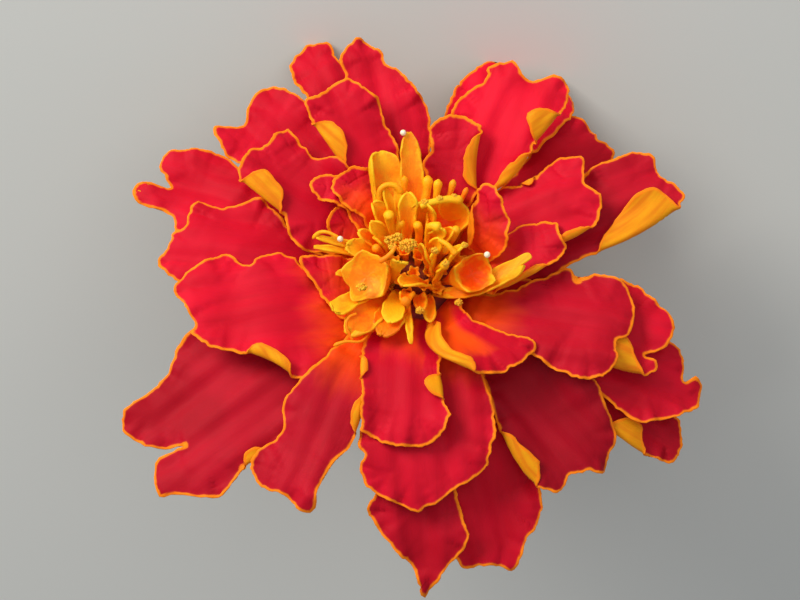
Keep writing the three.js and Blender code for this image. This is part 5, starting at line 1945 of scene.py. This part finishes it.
@dataclass
class DiscFlorets:
    """The orange disc: a dome with its florets, style branches, filaments, pollen and drops."""

    thickness: float = 0.26
    bead: float = 0.06
    across: int = 25
    along: int = 36
    underside_tone: float = 0.15
    margin_tone: float = 0.3
    bell_seed: int = 60
    rod_sides: int = 12
    drop: float = 0.3
    dome: tuple[Point, ...] = (
        (0.02, 3.3), (2.9, 3.3), (3.05, 3.8), (3.05, 4.6), (2.7, 5.6), (2.1, 6.1), (1.2, 6.4), (0.02, 6.6),
    )
    dome_sides: int = 48
    tubes: Tubes = Tubes()
    pollen: Pollen = Pollen()
    finish: FloretSatin = FloretSatin()
    # The dome is a real part, but its dark orange-brown is painted shadow for the hollows among the florets.
    dome_shadow_finish: Mottle = Mottle("dome_painted_shadow", (150, 56, 6), (104, 30, 4), 1.4, 0.7)
    pollen_finish: Mottle = Mottle("pollen", (255, 188, 22), (255, 164, 10), 3.0, 0.7, 0.3)
    sap_finish: Mottle = Mottle("sap", (255, 226, 190), (255, 240, 216), 1.0, 0.25, 0.3)

    def build(self) -> None:
        """Builds the whole disc."""
        satin = self.finish.build()
        self.dress(self.dome_piece(), self.dome_shadow_finish.build())
        self.dress(self.straps(), satin)
        self.dress(self.bells(), satin)
        self.dress(self.tubes.piece(), satin)
        self.dress(self.styles(), satin)
        self.dress(self.pollen.piece(), self.pollen_finish.build())
        self.dress(self.drops(), self.sap_finish.build())

    def dress(self, maker: MeshMaker, material: Material) -> None:
        """Finishes a piece of the disc."""
        maker.finish([material], "disc_florets", "floret_orange")

    def dome_piece(self) -> MeshMaker:
        """Makes the dome that the florets stand on, coloured dark orange-brown as painted shadow for the
        hollows among them.
        """
        maker = MeshMaker("disc_dome")
        maker.add(*turned(self.dome, self.dome_sides))
        return maker

    def straps(self) -> MeshMaker:
        """Makes the strap florets."""
        maker = MeshMaker("floret_straps")
        for seed, strap in enumerate(STRAPS):
            grid, margin, flat = strap.surface(seed, self.across, self.along)
            points, faces, loop = blade(grid, self.thickness, self.bead)
            t = np.broadcast_to(flat[..., 1] / flat[..., 1].max(), margin.shape)
            maker.add(
                points,
                faces,
                margin=np.concatenate([margin.ravel(), margin.ravel(), np.zeros(len(loop))]),
                reverse=all_round(np.zeros(margin.size), loop, 1.0, 0.5),
                tone=all_round(between(strap.tones, t).ravel(), loop, self.underside_tone, self.margin_tone),
                flat=all_round(flat.reshape(-1, 3), loop),
            )
        return maker

    def bells(self) -> MeshMaker:
        """Makes the florets that open in a bell."""
        maker = MeshMaker("floret_bells")
        for seed, bell in enumerate(BELLS):
            rings, margin, tone = bell.surface(self.bell_seed + seed, self.thickness)
            points, faces = ringed(rings)
            margin = np.append(margin, [NO_MARGIN, NO_MARGIN])
            maker.add(points, faces, margin=margin, tone=np.append(tone, [0.2, bell.tones[0]]))
        return maker

    def styles(self) -> MeshMaker:
        """Makes the slender style branches and filaments."""
        maker = MeshMaker("floret_styles")
        for rod in RODS:
            rings, tone = rod.rings(self.rod_sides)
            points, faces = ringed(rings)
            maker.add(points, faces, tone=np.append(tone, rod.tones))
        return maker

    def drops(self) -> MeshMaker:
        """Makes the small drops of sap."""
        maker = MeshMaker("sap_drops")
        for at in DROPS:
            maker.add(*ball(np.array(at), self.drop, sides=16, rings=10))
        return maker


@dataclass
class Cup:
    """The green cup of joined bracts, with a pointed tooth over each rib and rows of glands."""

    ribs: int = 10
    rib_depth: float = 0.28
    fine_depth: float = 0.05
    measured_at: float = 6.0
    gland_height: float = 0.07
    tooth: float = 0.9
    tooth_point: float = 1.5
    rim: float = -1.4
    rim_depth: float = 0.2
    # The rim's rings: their radii in mm, and 1 for the one that lies at the rim's depth.
    rim_rings: tuple[Point, ...] = ((6.42, 0.0), (5.95, 0.0), (5.93, 1.0))
    sides: int = 360
    rows: int = 60
    profile: tuple[Point, ...] = (
        (2.5, -15.6), (3.5, -14.4), (4.6, -12), (5.4, -9), (6.0, -6), (6.35, -3.4), (6.25, -1.9),
    )
    glands: int = 90
    gland_top: float = -2.6
    gland_run: float = 10.5
    gland_length: float = 0.35
    gland_stray: float = 0.6
    gland_width: float = 0.2
    gland_radius: float = 5.5
    gland_edge: float = 1.3
    seed: int = 41

    def build(self) -> None:
        """Builds the cup."""
        a = angles(self.sides)
        line = smooth_curve(self.profile, self.rows)
        rib, fine = np.cos(self.ribs * a), self.fine_depth * np.cos(3 * self.ribs * a + 1.0)
        rings, tones = [], []
        for (r, z), spots in zip(line, self.gland_map(a, line[:, 1])):
            wide = r / self.measured_at
            reach = r + self.rib_depth * wide * rib + fine * wide + self.gland_height * spots
            rings.append(level_ring(reach, a, z))
            tones.append(0.5 + 0.5 * rib + 1.5 * spots)
        top = self.rim + self.tooth * np.maximum(rib, 0) ** self.tooth_point
        for r, low in self.rim_rings:
            rings.append(level_ring(r, a, top * (1 - low) + (self.rim - self.rim_depth) * low))
            tones.append(0.6 + 0.4 * rib)
        points, faces = ringed(np.array(rings))
        maker = MeshMaker("cup")
        maker.add(points, faces, tone=np.concatenate([*tones, [0.5, 0.5]]))
        maker.finish([GreenSkin("cup_skin").build()], "involucre", "cup_green")

    def gland_map(self, a: Array, z: Array) -> Array:
        """How far each place on the cup lies inside a gland, from 0 to 1.

        Args:
            a: The angles of the columns.
            z: The heights of the rows, in mm.

        Returns:
            A grid of rows by columns.
        """
        rng = np.random.default_rng(self.seed)
        total = np.zeros((len(z), len(a)))
        for _ in range(self.glands):
            angle, height = 2 * np.pi * rng.random(), self.gland_top - self.gland_run * rng.random()
            long = self.gland_length + self.gland_stray * rng.random()
            aside = np.abs((a - angle + np.pi) % (2 * np.pi) - np.pi) * self.gland_radius
            away = (aside[None] / self.gland_width) ** 2 + ((z - height)[:, None] / long) ** 2
            total = np.maximum(total, np.clip(self.gland_edge - away, 0, 1))
        return total


@dataclass
class Stem:
    """The ridged stem, cut off square below the cup, with pale pith inside."""

    profile: tuple[Point, ...] = ((1.4, -28), (1.38, -24), (1.5, -20), (1.8, -17.4), (2.15, -15.9))
    bend: Point = (0.9, 0.4)
    ridges: int = 8
    ridge: float = 0.08
    sides: int = 96
    rows: int = 60
    pith: float = 0.82
    pith_heights: Point = (-0.03, 0.2)
    skin: GreenSkin = GreenSkin("stem_skin", pale=(150, 176, 92), green=(98, 134, 56))
    cut: Mottle = Mottle("cut_end", (206, 216, 150), (176, 196, 116), 1.2, 0.6)

    def build(self) -> None:
        """Builds the stem and its cut end."""
        a = angles(self.sides)
        top, end = self.profile[-1][1], self.profile[0][1]
        ridge = np.cos(self.ridges * a)
        rings = []
        for r, z in smooth_curve(self.profile, self.rows):
            t = (top - z) / (top - end)
            rings.append(level_ring(r + self.ridge * ridge, a, z) + np.array([*self.bend, 0]) * t * t)
        points, faces = ringed(np.array(rings))
        maker = MeshMaker("stem")
        maker.add(points, faces, tone=np.append(np.tile(0.5 + 0.5 * ridge, self.rows), [0.5, 0.5]))
        bottom = rings[0].mean(0)
        pith = [bottom + (rings[0] - bottom) * self.pith + [0, 0, z] for z in self.pith_heights]
        maker.add(*ringed(np.array(pith)), kind=1)
        maker.finish([self.skin.build(), self.cut.build()], "stem", "stem_green")


@dataclass(frozen=True)
class Lamp:
    """A soft square light."""

    name: str
    way: Triple
    power: float
    side: float
    tint: Triple


@dataclass
class Studio:
    """The floor, the lights and the camera."""

    floor_size: float = 6.0
    floor_colour: Triple = (206, 206, 200)
    distance: float = 0.45
    lit: float = 3.0
    lamps: tuple[Lamp, ...] = (
        Lamp("key", (-0.75, 0.62, 0.75), 1.95, 0.22, (1.0, 0.97, 0.93)),
        Lamp("fill", (0.2, 0.2, 1.0), 0.62, 0.4, (1.0, 0.98, 0.95)),
    )
    sky: tuple[float, float, float, float] = (0.86, 0.92, 1.0, 1.0)
    sky_strength: float = 0.36

    def build(self) -> None:
        """Sets the scene round the bloom."""
        self.build_floor()
        self.build_camera()
        for lamp in self.lamps:
            self.build_lamp(lamp)
        world = bpy.data.worlds.new("sky")
        world.use_nodes = True
        back = world.node_tree.nodes["Background"]
        back.inputs["Color"].default_value = self.sky
        back.inputs["Strength"].default_value = self.sky_strength
        bpy.context.scene.world = world
        bpy.context.scene.view_settings.view_transform = "Standard"

    def build_floor(self) -> None:
        """Makes the pale floor."""
        bpy.ops.mesh.primitive_plane_add(size=self.floor_size)
        floor = bpy.context.object
        floor.name = "floor"
        finish = Shader("floor_paint", Roughness=0.8, Base_Color=linear(*self.floor_colour))
        floor.data.materials.append(finish.material)

    def build_lamp(self, lamp: Lamp) -> None:
        """Sets up one lamp, aimed at the bloom.

        Args:
            lamp: The lamp.
        """
        light = bpy.data.lights.new(lamp.name, "AREA")
        light.energy, light.size, light.color = lamp.power, lamp.side, lamp.tint
        placed = bpy.data.objects.new(lamp.name, light)
        bpy.context.scene.collection.objects.link(placed)
        way = unit(np.array(lamp.way) @ (SIGHT.axes() @ POSE.turn().T))
        place = POSE.to_row(np.array([0.0, 0.0, self.lit])) + way * self.distance
        placed.matrix_world = looking(place, way, np.array([0.0, 0.0, 1.0]))

    def build_camera(self) -> None:
        """Sets the camera square to the bloom's front."""
        right, up, back = SIGHT.axes() @ POSE.turn().T
        origin = POSE.to_row(np.zeros(3))
        place = origin + (back * SIGHT.distance + right * SIGHT.aside[0] + up * SIGHT.aside[1]) * MM
        data = bpy.data.cameras.new("view")
        data.lens, data.sensor_width, data.clip_start = SIGHT.lens, SIGHT.sensor, SIGHT.nearest * MM
        camera = bpy.data.objects.new("view", data)
        bpy.context.scene.collection.objects.link(camera)
        camera.matrix_world = looking(place, back, up)
        bpy.context.scene.camera = camera


def looking(place: Array, back: Array, up: Array) -> Matrix:
    """The placement of a light or camera.

    Args:
        place: Where it is, in metres.
        back: The direction from its aim to it.
        up: Roughly its upward direction.

    Returns:
        Its world matrix.
    """
    z = unit(np.asarray(back, float))
    x = unit(np.cross(up, z))
    y = np.cross(z, x)
    rows = np.column_stack([x, y, z, np.asarray(place, float)])
    return Matrix([*rows.tolist(), [0, 0, 0, 1]])


def main() -> None:
    """Builds the marigold on its frame."""
    logging.basicConfig(level=logging.INFO, format="%(name)s %(message)s")
    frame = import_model()
    LOG.info("nodes in the frame: %d", len(frame["nodes"]))
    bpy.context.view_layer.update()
    for part in (Cup(), Stem(), RayPetals(), DiscFlorets(), Studio()):
        part.build()
        LOG.info("built %s", type(part).__name__)


if __name__ == "__main__":
    main()
